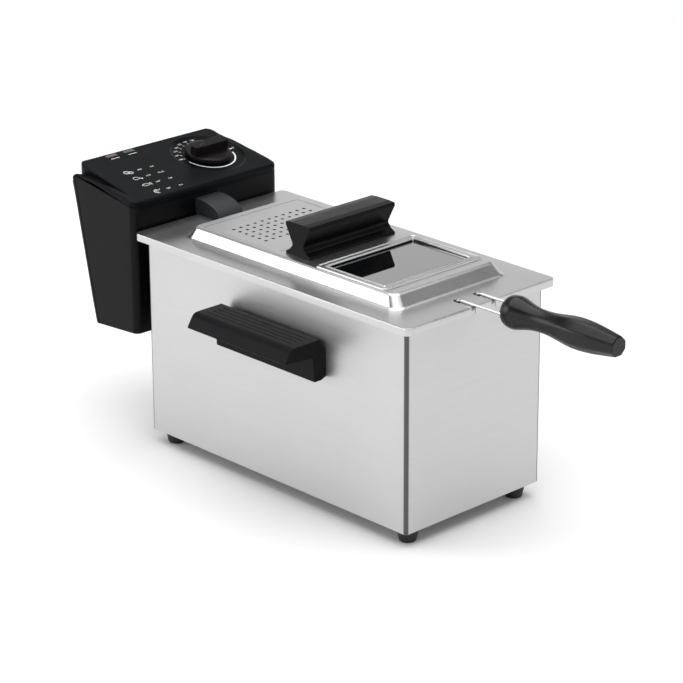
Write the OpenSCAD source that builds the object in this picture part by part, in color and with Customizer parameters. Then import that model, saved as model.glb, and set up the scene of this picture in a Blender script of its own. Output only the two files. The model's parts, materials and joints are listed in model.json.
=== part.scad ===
// Table-top deep fryer: steel housing, lift-out oil pot, plug-on control unit with the heater, frying basket
// with its own handle, and a pressed lid with a window and a filter. Millimetres, +Z up, X across the housing,
// +Y towards the control unit. The origin is on the floor, under the centre of the overall box.

/* [Housing] */
// Outside width of the steel housing
housing_w = 160; // [134:1:200]
// Outside length of the steel housing
housing_l = 320; // [267:1:384]
// Height of the steel housing above its bottom edge
housing_h = 182; // [152:1:218]
// Sheet thickness of the housing, pot and lid
sheet = 1; // [0.8:0.1:1.2]
// Outside radius of the housing's upright corners
housing_r = 4; // [3:0.5:8]
// Width of the flanges turned in along the housing's top and bottom edges
turn_in = 3; // [2:0.5:4]
// Thickness of the moulded base plate
base_t = 3; // [2:0.5:4]
// Height of the feet
foot_h = 13; // [11:0.5:20]
// Top radius of a foot
foot_r = 10; // [9:0.5:12]
// Distance from the housing's side to a foot's centre
foot_side = 16; // [13:0.5:24]
// Distance from the housing's end to a foot's centre
foot_end = 14; // [13:0.5:24]

/* [Side handles] */
// Length of a side handle
side_grip_l = 122; // [90:1:150]
// How far a side handle stands out from the housing
side_grip_out = 45.8; // [38:0.2:55]
// Thickness of the handle's block against the housing
side_block_t = 14.5; // [12:0.5:18]
// Height of the handle's top above the floor
side_grip_top = 161; // [150:1:170]
// Depth of the handle from its top to the bottom of its block
side_grip_drop = 36; // [30:1:42]
// How far the handles' middle is set forward of the housing's middle
side_grip_shift = 5.5; // [0:0.5:12]

/* [Oil pot] */
// Air gap between the pot's wall and the housing's outside
pot_inset = 7; // [6:0.5:12]
// Depth of the pot below its flange
pot_depth = 148; // [118:1:160]
// Radius of the pot's upright corners
pot_r = 16; // [10:0.5:24]
// How far the pot's flange reaches past the housing
flange_over = 5; // [4:0.5:6]
// Height of the pot flange's turned-down edge
flange_lip = 4; // [2:0.5:6]

/* [Lid] */
// How far the lid's brim reaches past the housing
brim_over = 8; // [7:0.5:10]
// Height of the brim's turned-down edge
brim_lip = 6.5; // [5:0.5:8]
// Width of the flat brim beside the raised middle
brim_side = 23; // [20:0.5:26]
// Width of the flat brim in front of the raised middle
brim_front = 34.5; // [34:0.5:42]
// Width of the flat brim behind the raised middle
brim_rear = 41; // [39:0.5:46]
// Height of the raised middle above the brim
lid_rise = 10.6; // [9:0.2:14]
// How far the raised middle's sides slope in
lid_slope = 5.5; // [3:0.5:8]
// How far its front slopes in
front_slope = 9; // [5:0.5:12]
// Distance from the raised top's side edge to the lid handle's end
lid_grip_side = 9.5; // [6:0.5:16]
// Height of the lid handle
lid_grip_h = 29; // [24:0.5:36]
// Width of the lid handle across its top and base
lid_grip_w = 29.4; // [24:0.2:34]
// Width of the lid handle's waist
lid_waist_w = 12; // [10:0.5:16]
// Distance from the lid handle's middle line to the window frame
window_back = 28.7; // [24:0.2:36]
// Distance from the raised top's side and front edges to the window frame
window_side = 1.9; // [1.5:0.1:8]
// Distance from the raised top's front edge to the window frame
window_front = 12.5; // [8:0.5:20]
// Width of the window frame's flat band
bezel_w = 7.5; // [6:0.5:10]
// Thickness of the window glass
glass_t = 3; // [2:0.5:4]

/* [Lid filter] */
// Distance from the raised top's side edge to the filter cover
cover_side = 4.5; // [4:0.5:12]
// Distance from the lid handle's middle line to the filter cover
cover_front = 19.7; // [18:0.1:30]
// Distance from the raised top's rear edge to the filter cover
cover_rear = 8.8; // [7:0.1:20]
// Diameter of a steam hole
hole_d = 3.2; // [2:0.1:4.5]
// Spacing of the steam holes
hole_pitch = 8.25; // [6.5:0.05:9]
// Rows of steam holes along the lid
hole_rows = 6; // [2:1:8]
// Steam holes in a row
hole_cols = 11; // [4:1:13]

/* [Basket] */
// Gap between the basket and the pot's walls
basket_gap = 8; // [6:0.5:14]
// Distance from the pot's rear wall to the basket, which clears the heater's legs
basket_rear = 34; // [28:1:44]
// Height of the basket
basket_h = 108; // [80:1:112]
// Wall thickness of the basket's mesh
mesh_t = 2; // [1.5:0.1:3]
// Diameter of the rim wire
rim_d = 4; // [3:0.2:5]
// Diameter of the handle wires
wire_d = 2.6; // [2.4:0.2:3.2]
// Distance between the handle wires
wire_pitch = 23.2; // [21:0.2:24]
// Distance from the housing's end to the basket grip
grip_stand = 34.5; // [28:0.5:42]
// Length of the basket grip
grip_l = 118; // [100:1:140]
// Largest radius of the basket grip
grip_r = 14; // [13.8:0.1:16]

/* [Control unit] */
// How far the control unit reaches past the housing on each side
ctrl_over = 5; // [3:0.5:8]
// Gap between the housing and the control unit
ctrl_gap = 11; // [10:0.5:14]
// Depth of the control unit at its top
ctrl_top_d = 86; // [76:1:96]
// Depth of the control unit at its bottom
ctrl_bot_d = 59; // [56:1:70]
// Height of the control panel's front edge above the lid's brim
ctrl_rise = 24.5; // [22:0.5:30]
// Rise of the control panel from front to rear
panel_rise = 18; // [14:0.5:22]
// How far the control unit hangs below the lid's brim
ctrl_drop = 97.5; // [90:0.5:104]
// Wall thickness of the control unit's mouldings
wall = 2.5; // [2:0.1:3]
// Radius of the control unit's upright corners
ctrl_r = 6.5; // [4:0.5:9]
// Width of the bridge that reaches over the rim into the pot
bridge_w = 28; // [26:0.5:34]
// Radius of the bridge's rounded nose
bridge_r = 14; // [12:0.5:16]
// How far the bridge reaches in front of the control unit
bridge_l = 33; // [31:0.5:36]

/* [Dial] */
// Distance from the control unit's side to the dial's centre
dial_side = 44; // [38:0.5:60]
// Distance from the panel's front edge to the dial's centre
dial_front = 46; // [38:0.5:50]
// Radius of the dial's recess
dial_r = 35; // [30:0.5:37]
// Radius of the knob's skirt
knob_r = 21; // [17:0.5:24]
// Height of the knob's bar above the panel
knob_h = 11.5; // [9:0.5:15]
// Direction of the knob's pointer at rest
knob_angle = 184; // [150:1:200]

/* [Heater] */
// Diameter of the heater's tube
heater_d = 7; // [6:0.2:8.4]
// Height of the heater's loops above the pot's floor
heater_z = 14; // [10:0.5:18]
// Distance between the heater's two legs
leg_pitch = 15; // [14:0.5:16]

/* [Clearances] */
// Gap between pieces that rest on each other and come apart
rest_gap = 0.2; // [0.1:0.05:0.3]
// Gap around a piece that drops into an opening
drop_gap = 0.4; // [0.3:0.05:0.6]
// Radial gap of a turning or sliding fit
run_gap = 0.05; // [0.03:0.01:0.1]

/* [Hidden] */

$fn = 64;
bleed = 1;                      // how far a cutter passes through what it cuts
ring_fn = 32;                   // segments of the corners that a hull joins

// The overall box, from the basket grip's end to the control unit's top rear edge
front_end = -housing_l / 2 - grip_stand - grip_l;
rear_end = housing_l / 2 + ctrl_gap + ctrl_top_d;
housing_y = -(front_end + rear_end) / 2;

// Levels above the floor
housing_top = foot_h + housing_h;
flange_z = housing_top + rest_gap;
flange_top = flange_z + sheet;
brim_z = flange_top + rest_gap;
brim_top = brim_z + sheet;
lid_top = brim_top + lid_rise;
wire_z = brim_top + rest_gap * 2 + wire_d / 2;

// Housing
base_z = foot_h + sheet;
screw_d = 3.8;                  // M4 shank
screw_head_d = 7.6;
screw_head_t = 2.6;
foot_boss_h = 8;
side_screw_pitch = side_grip_l - 40;
side_screw_z = side_grip_top - 22;
rail_x = housing_w / 4;
rail_neck_w = 4;
rail_head_w = 10;
rail_head_t = 2;
rail_d = ctrl_gap - 3;
channel_clear = 0.5;            // gap between a rail and the channel that slides on it
channel_w = rail_head_w + 2 * channel_clear + 5;
channel_d = ctrl_gap - rail_head_t - 1;

// Pot
pot_w = housing_w - 2 * pot_inset;
pot_l = housing_l - 2 * pot_inset;
cavity_w = pot_w - 2 * sheet;
cavity_l = pot_l - 2 * sheet;
pot_floor = flange_z - pot_depth + sheet;
pot_edge = 7;                   // radius of the pot's lower edges
flange_w = housing_w + 2 * flange_over;
flange_l = housing_l + 2 * flange_over;

// Lid
lid_w = housing_w + 2 * brim_over;
lid_l = housing_l + 2 * brim_over;
dome_w = lid_w - 2 * brim_side;
dome_l = lid_l - brim_front - brim_rear;
dome_y = (brim_front - brim_rear) / 2;
dome_front = dome_y - dome_l / 2 + front_slope;
dome_rear = dome_y + dome_l / 2 - lid_slope;
dome_top_w = dome_w - 2 * lid_slope;
dome_r = 9;
brim_r = 6.5;
slot_w = wire_d + 2.8;
lid_grip_y = (dome_front + dome_rear) / 2 + 0.5;
lid_grip_l = dome_top_w - 2 * lid_grip_side;
lid_screw_pitch = lid_grip_l - 30;
waist_z = 8.5;                  // height of the lid handle's waist above its base

// Window, from the frame's outside inwards
bezel_x = dome_top_w - 2 * window_side;
bezel_y0 = dome_front + window_front;
bezel_y1 = lid_grip_y - window_back;
bezel_y = bezel_y1 - bezel_y0;
window_mid = (bezel_y0 + bezel_y1) / 2;
bezel_t = 1.4;                  // how far the frame stands above the lid
bezel_skirt = 5;                // how deep the frame's skirt reaches through the lid
skirt_in = 4.6;                 // from the frame's outside to its skirt
skirt_t = 1;
seal_t = 1.2;
glass_z = lid_top - seal_t - glass_t;
retainer_t = 0.8;

// Filter
cover_w = dome_top_w - 2 * cover_side;
cover_y0 = lid_grip_y + cover_front;
cover_y1 = dome_rear - cover_rear;
cover_l = cover_y1 - cover_y0;
cover_mid = (cover_y0 + cover_y1) / 2;
cover_r = 2;
tray_lip = 2;                   // width of the ledge that the cover rests on
tray_t = 0.8;
tray_depth = 13;
pad_t = 4.5;

// Basket
basket_w = cavity_w - 2 * basket_gap;
basket_y0 = -cavity_l / 2 + 2 * basket_gap;
basket_y1 = cavity_l / 2 - basket_rear;
basket_l = basket_y1 - basket_y0;
basket_mid = (basket_y0 + basket_y1) / 2;
rim_z = flange_top - 13;
basket_z = rim_z - basket_h;
basket_r = pot_r - 4;
basket_edge = 6;                // radius of the basket's lower edges
wire_y = basket_y0 - 12;
wire_bend = 7;
socket_r = wire_d / 2 + 1.6;
socket_h = 26;
socket_z = rim_z - rim_d - socket_h - 2;
bracket_w = wire_pitch + 20;
grip_y = -housing_l / 2 - grip_stand;
wire_into_grip = 12;
weld_gap = 0.05;                // wires that are welded side by side

// Basket grip, at shares of its length: a collar, a neck, a belly and a tapered tail
collar_at = 0.09;
neck_at = 0.34;
belly_at = 0.65;
neck_r = 9.3;
nose_r = 10;
tail_r = 8.8;

// Control unit
ctrl_w = housing_w + 2 * ctrl_over;
ctrl_y = housing_l / 2 + ctrl_gap;
ctrl_bottom = brim_top - ctrl_drop;
ctrl_bottom_rise = 4;           // the bottom's fall from front to rear
panel_front_z = brim_top + ctrl_rise;
panel_slope = atan(panel_rise / ctrl_top_d);
panel_len = ctrl_top_d / cos(panel_slope);
cover_front_h = 4;              // height of the top cover's edge at the front
cover_rear_h = 9;               // and at the rear
seam = 0.5;                     // groove between the top cover and the shell
seam_bulge = 5;                 // how far the seam's line rises above a straight one
seam_steps = 10;
rear_top_z = panel_front_z + panel_rise - cover_rear_h - seam;
rear_low_z = ctrl_bottom - ctrl_bottom_rise;
lean = atan((ctrl_top_d - ctrl_bot_d) / (rear_top_z - rear_low_z));
rear_len = (rear_top_z - rear_low_z) / cos(lean);
rear_screw_d = 3;
rear_screw_side = 6;            // from the shell's side to a rear screw
rear_screw_up = 12;             // from the rear face's ends to a rear screw
bridge_z = brim_z + sheet + rest_gap / 2;
bridge_top = bridge_z + bridge_r;
plate_z = flange_top + 0.3;
plate_t = 1;
bridge_t = 2;

// Dial and lamps
dial_x = ctrl_w / 2 - dial_side;
recess = 2;
floor_t = 2.5;
bushing_r = 4.7;
spindle_r = 3;
flat_depth = 0.6;
lamp_x = [-ctrl_w / 4, -ctrl_w / 4 + 20];
lamp_s = panel_len - 5.6;
lens_w = 12;
lens_l = 4;

// Heater
leg_y = ctrl_y - 26;
leg_bend = 14;
turn_r = 12;
outer_x = cavity_w / 2 - 18;
loop_r = outer_x / 3;
heater_level = pot_floor + heater_z;
loop_front = -cavity_l / 2 + loop_r + 16;
link_l = 4;
run_l = leg_y - leg_bend - link_l - 2 * turn_r - loop_front;
inner_l = run_l - 28;
leg_top = bridge_z + 5.5;
bulb_r = 3;
bulb_l = 60;
bulb_z = heater_level + heater_d / 2 + 1 + bulb_r;
bulb_front = -10;
capillary_r = 1;
capillary_bend = 8;

// Rear face of the control unit
reset_x = ctrl_w / 4;
reset_up = 48;
reset_r = 4;
inlet_x = -ctrl_w / 4;
inlet_up = 30;
inlet_r = 7;
inlet_bore_r = 3.6;

// Interlock
switch_x = -housing_w / 8;
switch_y = ctrl_y + 14;
tab_t = 2;
tab_w = 8;
plunger_r = 1.5;
plunger_z = ctrl_bottom + 12;

// ---------- shared shapes ----------

module at_housing() {
    translate([0, housing_y, 0]) children();
}

module rounded_rect(w, l, r) {
    square([w - 2 * r, l], center = true);
    square([w, l - 2 * r], center = true);
    for (x = [-1, 1], y = [-1, 1])
        translate([x * (w / 2 - r), y * (l / 2 - r)]) circle(r);
}

module slab(w, l, r, z0, z1) {
    translate([0, 0, z0]) linear_extrude(z1 - z0) rounded_rect(w, l, r);
}

// A slab whose lower edges are rounded too, all round.
module tub(w, l, r, edge, z0, z1) {
    intersection() {
        slab(w, l, r, z0, z1);
        rotate([90, 0, 0]) translate([0, 0, -l]) linear_extrude(2 * l) rounded_foot(w, edge, z0, z1);
        rotate([90, 0, 90]) translate([0, 0, -w]) linear_extrude(2 * w) rounded_foot(l, edge, z0, z1);
    }
}

module rounded_foot(w, edge, z0, z1) {
    translate([-w / 2, z0 + edge]) square([w, z1 - z0 - edge]);
    translate([-w / 2 + edge, z0]) square([w - 2 * edge, edge]);
    for (s = [-1, 1]) translate([s * (w / 2 - edge), z0 + edge]) circle(edge);
}

module tube(r_out, r_in, h) {
    difference() {
        cylinder(r = r_out, h = h);
        translate([0, 0, -bleed]) cylinder(r = r_in, h = h + 2 * bleed);
    }
}

// A round rod bent like wire. Each step is [straight length, roll, bend angle, bend radius].
module bent_rod(steps, r, i = 0) {
    if (i < len(steps)) {
        run = steps[i][0];
        roll = steps[i][1];
        angle = steps[i][2];
        radius = steps[i][3];
        side = angle < 0 ? -1 : 1;
        rotate([0, 90, 0]) cylinder(r = r, h = run);
        translate([run, 0, 0]) rotate([roll, 0, 0]) {
            if (angle != 0) {
                translate([0, side * radius, 0])
                    rotate([0, 0, -90 * side])
                        rotate_extrude(angle = angle) translate([radius, 0]) circle(r, $fn = 32);
            }
            translate([radius * sin(abs(angle)), side * radius * (1 - cos(angle)), 0])
                rotate([0, 0, angle]) bent_rod(steps, r, i + 1);
        }
    }
}

// A closed loop of wire with rounded corners, on its centre line.
module wire_loop(w, l, corner, r) {
    for (s = [-1, 1]) {
        translate([s * w / 2, -(l / 2 - corner), 0]) rotate([-90, 0, 0])
            cylinder(r = r, h = l - 2 * corner);
        translate([-(w / 2 - corner), s * l / 2, 0]) rotate([0, 90, 0])
            cylinder(r = r, h = w - 2 * corner);
    }
    for (q = [[1, 1, 0], [-1, 1, 90], [-1, -1, 180], [1, -1, 270]])
        translate([q[0] * (w / 2 - corner), q[1] * (l / 2 - corner), 0])
            rotate([0, 0, q[2]]) rotate_extrude(angle = 90) translate([corner, 0]) circle(r, $fn = 32);
}

// A pan-head screw whose shank points up, with its head's underside at z = 0.
module pan_screw(d, head_d, head_t, l) {
    cylinder(d = d, h = l);
    difference() {
        translate([0, 0, -head_t]) cylinder(d = head_d, h = head_t);
        for (a = [0, 90])
            rotate([0, 0, a]) translate([-head_d / 3, -0.5, -head_t - bleed])
                cube([head_d / 1.5, 1, bleed + head_t / 2]);
    }
}

// Puts children on the control panel: x across, y up the slope from the front edge, z out of it.
module on_panel(x, s) {
    translate([x, ctrl_y, panel_front_z]) rotate([panel_slope, 0, 0]) translate([0, s, 0]) children();
}

// Puts children on the control unit's rear face: y up the face from its bottom edge, z out of it.
module on_rear(x, up) {
    translate([0, ctrl_y + ctrl_bot_d, rear_low_z]) rotate([-90 - lean, 0, 0])
        rotate([0, 0, 180]) translate([-x, up, 0]) children();
}

module foot_places() {
    for (x = [-1, 1], y = [-1, 1])
        translate([x * (housing_w / 2 - foot_side), y * (housing_l / 2 - foot_end), 0]) children();
}

// ---------- housing ----------

module housing_shell() color("gainsboro") at_housing() {
    difference() {
        slab(housing_w, housing_l, housing_r, foot_h, housing_top);
        slab(housing_w - 2 * sheet, housing_l - 2 * sheet, housing_r - sheet, foot_h + sheet, housing_top - sheet);
        slab(housing_w - 2 * sheet - 2 * turn_in, housing_l - 2 * sheet - 2 * turn_in, housing_r - sheet,
             housing_top - 2 * sheet, housing_top + bleed);
        slab(housing_w - 2 * (foot_side + foot_r), housing_l - 2 * (foot_end + foot_r), housing_r - sheet,
             foot_h - bleed, foot_h + 2 * sheet);
        foot_places() translate([0, 0, foot_h - bleed])
            cylinder(d = screw_d + 0.4, h = sheet + 2 * bleed);
        side_screw_places() translate([-screw_head_t - bleed, 0, 0]) rotate([0, 90, 0])
            cylinder(d = screw_d + 0.4, h = screw_head_t + sheet + 2 * bleed);
    }
}

module base_plate() color("dimgray") at_housing() {
    inner_w = housing_w - 2 * sheet - 2 * drop_gap;
    inner_l = housing_l - 2 * sheet - 2 * drop_gap;
    slot_l = inner_w / 2;
    difference() {
        union() {
            slab(inner_w, inner_l, housing_r - sheet, base_z, base_z + base_t);
            foot_places() translate([0, 0, base_z]) cylinder(r = 5, h = base_t + foot_boss_h);
        }
        foot_places() translate([0, 0, base_z - bleed])
            cylinder(d = screw_d + 0.2, h = base_t + foot_boss_h + 2 * bleed);
        for (i = [-2:2])
            slab_slot(slot_l, 6, i * inner_l / 8, base_z - bleed, base_z + base_t + bleed);
    }
}

module slab_slot(l, w, y, z0, z1) {
    translate([0, y, z0]) linear_extrude(z1 - z0) {
        square([l - w, w], center = true);
        for (s = [-1, 1]) translate([s * (l - w) / 2, 0]) circle(d = w);
    }
}

// Tapered rubber feet with a rounded sole, and a well from below for the screw.
module feet() color("black") at_housing() {
    sole_r = foot_r - 2.5;
    edge = 2;
    foot_places() rotate_extrude() difference() {
        union() {
            polygon([[0, edge], [sole_r, edge], [foot_r, foot_h], [0, foot_h]]);
            square([sole_r - edge, edge + 0.5]);
            translate([sole_r - edge, edge]) circle(edge, $fn = 32);
        }
        translate([-bleed, -bleed]) square([screw_head_d / 2 + 0.4 + bleed, foot_h / 2 + bleed]);
        translate([-bleed, 0]) square([screw_d / 2 + 0.1 + bleed, foot_h + bleed]);
        translate([-2 * foot_r, -foot_r]) square([2 * foot_r, 3 * foot_r]);
    }
}

module foot_screws() color("silver") at_housing() {
    shank = foot_h / 2 + sheet + base_t + foot_boss_h - 1;
    foot_places() translate([0, 0, foot_h / 2]) pan_screw(screw_d, screw_head_d, screw_head_t, shank);
}

// Where the side handles' screws pass the housing's wall, with X pointing out of the housing.
module side_screw_places(sides = [0, 180]) {
    for (a = sides, y = [-1, 1])
        translate([0, -side_grip_shift + y * side_screw_pitch / 2, side_screw_z])
            rotate([0, 0, a]) translate([housing_w / 2 - sheet, 0, 0]) children();
}

// A ledge to lift by: a block against the housing and a shelf that the fingers go under.
module side_handle(a) {
    top_in = 6.1;
    shelf_t = 12;
    nose = 7.5;
    chamfer = 5.3;
    groove_d = 0.8;
    profile = [
        [0, -top_in * 2], [top_in, 0], [side_grip_out - nose, 0], [side_grip_out, -shelf_t],
        [side_block_t, -shelf_t - 2], [side_block_t - 1.5, -side_grip_drop], [chamfer, -side_grip_drop],
        [0, -side_grip_drop + 2]
    ];
    translate([0, -side_grip_shift, side_grip_top]) rotate([0, 0, a]) translate([housing_w / 2, 0, 0])
        difference() {
            translate([0, side_grip_l / 2, 0]) rotate([90, 0, 0]) linear_extrude(side_grip_l) polygon(profile);
            for (i = [0:3])
                translate([side_grip_out - nose - 3 - i * 5, -side_grip_l / 2 + 10, -groove_d])
                    cube([1.8, side_grip_l - 20, groove_d + bleed]);
            for (y = [-1, 1])
                translate([-bleed, y * side_screw_pitch / 2, side_screw_z - side_grip_top]) rotate([0, 90, 0])
                    cylinder(d = screw_d + 0.1, h = 10 + bleed);
        }
}

module side_handle_left() color("black") at_housing() side_handle(180);

module side_handle_right() color("black") at_housing() side_handle(0);

module side_handle_screws() color("silver") at_housing() {
    side_screw_places() rotate([0, 90, 0]) pan_screw(screw_d, screw_head_d, screw_head_t, sheet + 9);
}

// Two T-shaped rails that the control unit slides down on to.
module guide_rails() color("silver") at_housing() {
    for (x = [-1, 1])
        translate([x * rail_x, housing_l / 2, ctrl_bottom + 10]) linear_extrude(housing_top - ctrl_bottom - 30) {
            translate([-rail_head_w / 2, 0]) square([rail_head_w, rail_head_t]);
            translate([-rail_neck_w / 2, 0]) square([rail_neck_w, rail_d]);
            translate([-rail_head_w / 2, rail_d - rail_head_t]) square([rail_head_w, rail_head_t]);
        }
}

// The bent tab that enters the control unit's underside and works its safety switch.
module interlock_bracket() color("silver") at_housing() {
    foot_z = ctrl_bottom - ctrl_bottom_rise - 6;
    translate([switch_x - tab_w / 2, housing_l / 2, foot_z - 16]) cube([tab_w, tab_t, 16 + tab_t]);
    translate([switch_x - tab_w / 2, housing_l / 2, foot_z])
        cube([tab_w, switch_y - housing_l / 2 + tab_t, tab_t]);
    translate([switch_x - tab_w / 2, switch_y, foot_z]) cube([tab_w, tab_t, plunger_z - 0.3 - foot_z]);
}

// ---------- oil pot ----------

module oil_pot() color("lightgray") at_housing() {
    difference() {
        union() {
            tub(pot_w, pot_l, pot_r, pot_edge, pot_floor - sheet, flange_top);
            slab(flange_w, flange_l, brim_r, flange_z, flange_top);
            difference() {
                slab(flange_w, flange_l, brim_r, flange_z - flange_lip + sheet, flange_top);
                slab(flange_w - 2 * sheet, flange_l - 2 * sheet, brim_r - sheet,
                     flange_z - flange_lip, flange_z);
            }
        }
        tub(cavity_w, cavity_l, pot_r - sheet, pot_edge - sheet, pot_floor, flange_top + bleed);
        // notches that let the control unit's channels slide past the flange
        for (x = [-1, 1])
            translate([x * rail_x - channel_w / 2 - 1, ctrl_y - channel_d - 0.7, flange_z - flange_lip - bleed])
                cube([channel_w + 2, flange_over + bleed, flange_lip + sheet + 2 * bleed]);
    }
}

// ---------- lid ----------

module dome(inset, z0, z1) {
    hull() {
        translate([0, dome_y, z0]) linear_extrude(0.01)
            rounded_rect(dome_w - 2 * inset, dome_l - 2 * inset, dome_r - inset, $fn = ring_fn);
        translate([0, (dome_front + dome_rear) / 2, z1 - 0.01]) linear_extrude(0.01)
            rounded_rect(dome_top_w - 2 * inset, dome_rear - dome_front - 2 * inset, dome_r - 2 - inset,
                         $fn = ring_fn);
    }
}

module lid_shell() color("gainsboro") at_housing() {
    slot_end = wire_y + wire_d / 2 + 1;
    notch_y = ctrl_y - bridge_l - 1.5;
    difference() {
        union() {
            slab(lid_w, lid_l, brim_r, brim_top - brim_lip, brim_top);
            dome(0, brim_top - sheet / 2, lid_top);
        }
        slab(lid_w - 2 * sheet, lid_l - 2 * sheet, brim_r - sheet, brim_top - brim_lip - bleed, brim_z);
        dome(sheet, brim_z - bleed, lid_top - sheet);
        for (x = [-1, 1]) translate([x * wire_pitch / 2, 0, 0]) {
            translate([-slot_w / 2, -lid_l / 2 - bleed, brim_top - brim_lip - bleed])
                cube([slot_w, slot_end - slot_w / 2 + lid_l / 2 + bleed, brim_lip + 2 * bleed]);
            translate([0, slot_end - slot_w / 2, brim_z - bleed])
                cylinder(d = slot_w, h = sheet + 2 * bleed);
        }
        translate([-bridge_w / 2 - 1, notch_y, brim_top - brim_lip - bleed])
            cube([bridge_w + 2, lid_l, brim_lip + 2 * bleed]);
        translate([0, window_mid, 0])
            slab(bezel_x - 2 * skirt_in + 2 * drop_gap, bezel_y - 2 * skirt_in + 2 * drop_gap, 2 + drop_gap,
                 lid_top - sheet - bleed, lid_top + bleed);
        translate([0, cover_mid, 0])
            slab(cover_w, cover_l, cover_r, lid_top - sheet - bleed, lid_top + bleed);
        for (x = [-1, 1]) translate([x * lid_screw_pitch / 2, lid_grip_y, lid_top - sheet - bleed])
            cylinder(d = screw_d + 0.4, h = sheet + 2 * bleed);
    }
}

// Waisted handle, the same section all along, with a slightly crowned top.
module lid_handle() color("black") at_housing() {
    half = lid_grip_w / 2;
    base_edge = 1.5;
    crown = 1.2;
    crown_r = (half * half + crown * crown) / (2 * crown);
    translate([0, lid_grip_y, lid_top]) difference() {
        translate([-lid_grip_l / 2, 0, 0]) rotate([90, 0, 90]) linear_extrude(lid_grip_l) intersection() {
            polygon([
                [-half, 0], [half, 0], [half, base_edge], [lid_waist_w / 2, waist_z],
                [half, lid_grip_h - crown - 1], [half, lid_grip_h], [-half, lid_grip_h],
                [-half, lid_grip_h - crown - 1], [-lid_waist_w / 2, waist_z], [-half, base_edge]
            ]);
            translate([0, lid_grip_h - crown_r]) circle(crown_r, $fn = 128);
        }
        for (x = [-1, 1]) translate([x * lid_screw_pitch / 2, 0, -bleed])
            cylinder(d = screw_d + 0.1, h = 12 + bleed);
    }
}

module lid_handle_screws() color("silver") at_housing() {
    for (x = [-1, 1]) translate([x * lid_screw_pitch / 2, lid_grip_y, lid_top - sheet])
        pan_screw(screw_d, screw_head_d, screw_head_t, sheet + 10);
}

module window_bezel() color("silver") at_housing() translate([0, window_mid, 0]) {
    skirt_x = bezel_x - 2 * skirt_in;
    skirt_y = bezel_y - 2 * skirt_in;
    difference() {
        union() {
            slab(bezel_x, bezel_y, 3, lid_top, lid_top + bezel_t);
            slab(skirt_x, skirt_y, 2, lid_top - bezel_skirt, lid_top + bezel_t);
        }
        slab(bezel_x - 2 * bezel_w, bezel_y - 2 * bezel_w, 1, lid_top - bleed, lid_top + bezel_t + bleed);
        slab(skirt_x - 2 * skirt_t, skirt_y - 2 * skirt_t, 1, lid_top - bezel_skirt - bleed, lid_top);
    }
}

module window_ring(z0, z1, w) {
    in_x = bezel_x - 2 * skirt_in - 2 * skirt_t - 0.2;
    in_y = bezel_y - 2 * skirt_in - 2 * skirt_t - 0.2;
    difference() {
        slab(in_x, in_y, 1, z0, z1);
        slab(in_x - 2 * w, in_y - 2 * w, 0.5, z0 - bleed, z1 + bleed);
    }
}

module window_seal() color("dimgray") at_housing() translate([0, window_mid, 0])
    window_ring(glass_z + glass_t, lid_top, 1.8);

module window_glass() color([0.1, 0.1, 0.11, 0.8]) at_housing() translate([0, window_mid, 0])
    slab(bezel_x - 2 * skirt_in - 2 * skirt_t - 0.4, bezel_y - 2 * skirt_in - 2 * skirt_t - 0.4, 1,
         glass_z, glass_z + glass_t);

module window_retainer() color("silver") at_housing() translate([0, window_mid, 0])
    window_ring(glass_z - retainer_t, glass_z, 5);

// ---------- lid filter ----------

module filter_tray() color("silver") at_housing() translate([0, cover_mid, 0]) {
    ledge_z = lid_top - sheet;
    box_w = cover_w - 2 * tray_lip;
    box_l = cover_l - 2 * tray_lip;
    difference() {
        union() {
            slab(cover_w + 4, cover_l + 4, cover_r, ledge_z - tray_t, ledge_z);
            slab(box_w, box_l, cover_r, ledge_z - tray_depth, ledge_z);
        }
        slab(box_w - 2 * tray_t, box_l - 2 * tray_t, cover_r - tray_t,
             ledge_z - tray_depth + tray_t, ledge_z + bleed);
        for (i = [-3:3])
            slab_slot(box_w - 24, 5, i * (box_l - 16) / 7, ledge_z - tray_depth - bleed,
                      ledge_z - tray_depth + tray_t + bleed);
    }
}

module filter_pads() color("darkslategray") at_housing() translate([0, cover_mid, 0]) {
    pad_w = cover_w - 2 * tray_lip - 2 * tray_t - 1;
    pad_l = cover_l - 2 * tray_lip - 2 * tray_t - 1;
    pad_z = lid_top - sheet - tray_depth + tray_t;
    for (i = [0, 1])
        slab(pad_w, pad_l, 1, pad_z + i * (pad_t + 0.3) + 0.1, pad_z + i * (pad_t + 0.3) + 0.1 + pad_t);
}

// The lift-out panel flush with the lid's top, with a square grid of steam holes.
module filter_cover() color("gainsboro") at_housing() translate([0, cover_mid, 0]) {
    grid_shift = 3;
    difference() {
        slab(cover_w - 2 * drop_gap, cover_l - 2 * drop_gap, cover_r - drop_gap,
             lid_top - sheet + rest_gap, lid_top);
        for (i = [0:hole_cols - 1], j = [0:hole_rows - 1])
            translate([(i - (hole_cols - 1) / 2) * hole_pitch, (j - (hole_rows - 1) / 2) * hole_pitch + grid_shift,
                       lid_top - sheet - bleed])
                cylinder(d = hole_d, h = sheet + 2 * bleed, $fn = 16);
    }
}

// ---------- basket ----------

module basket_mesh() color("silver") at_housing() translate([0, basket_mid, 0]) difference() {
    tub(basket_w, basket_l, basket_r, basket_edge, basket_z, rim_z);
    tub(basket_w - 2 * mesh_t, basket_l - 2 * mesh_t, basket_r - mesh_t, basket_edge - mesh_t,
        basket_z + mesh_t, rim_z + bleed);
}

module basket_rim() color("silver") at_housing() translate([0, basket_mid, rim_z - rim_d / 2])
    wire_loop(basket_w + rim_d + 2 * weld_gap, basket_l + rim_d + 2 * weld_gap, basket_r + rim_d / 2, rim_d / 2);

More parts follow.
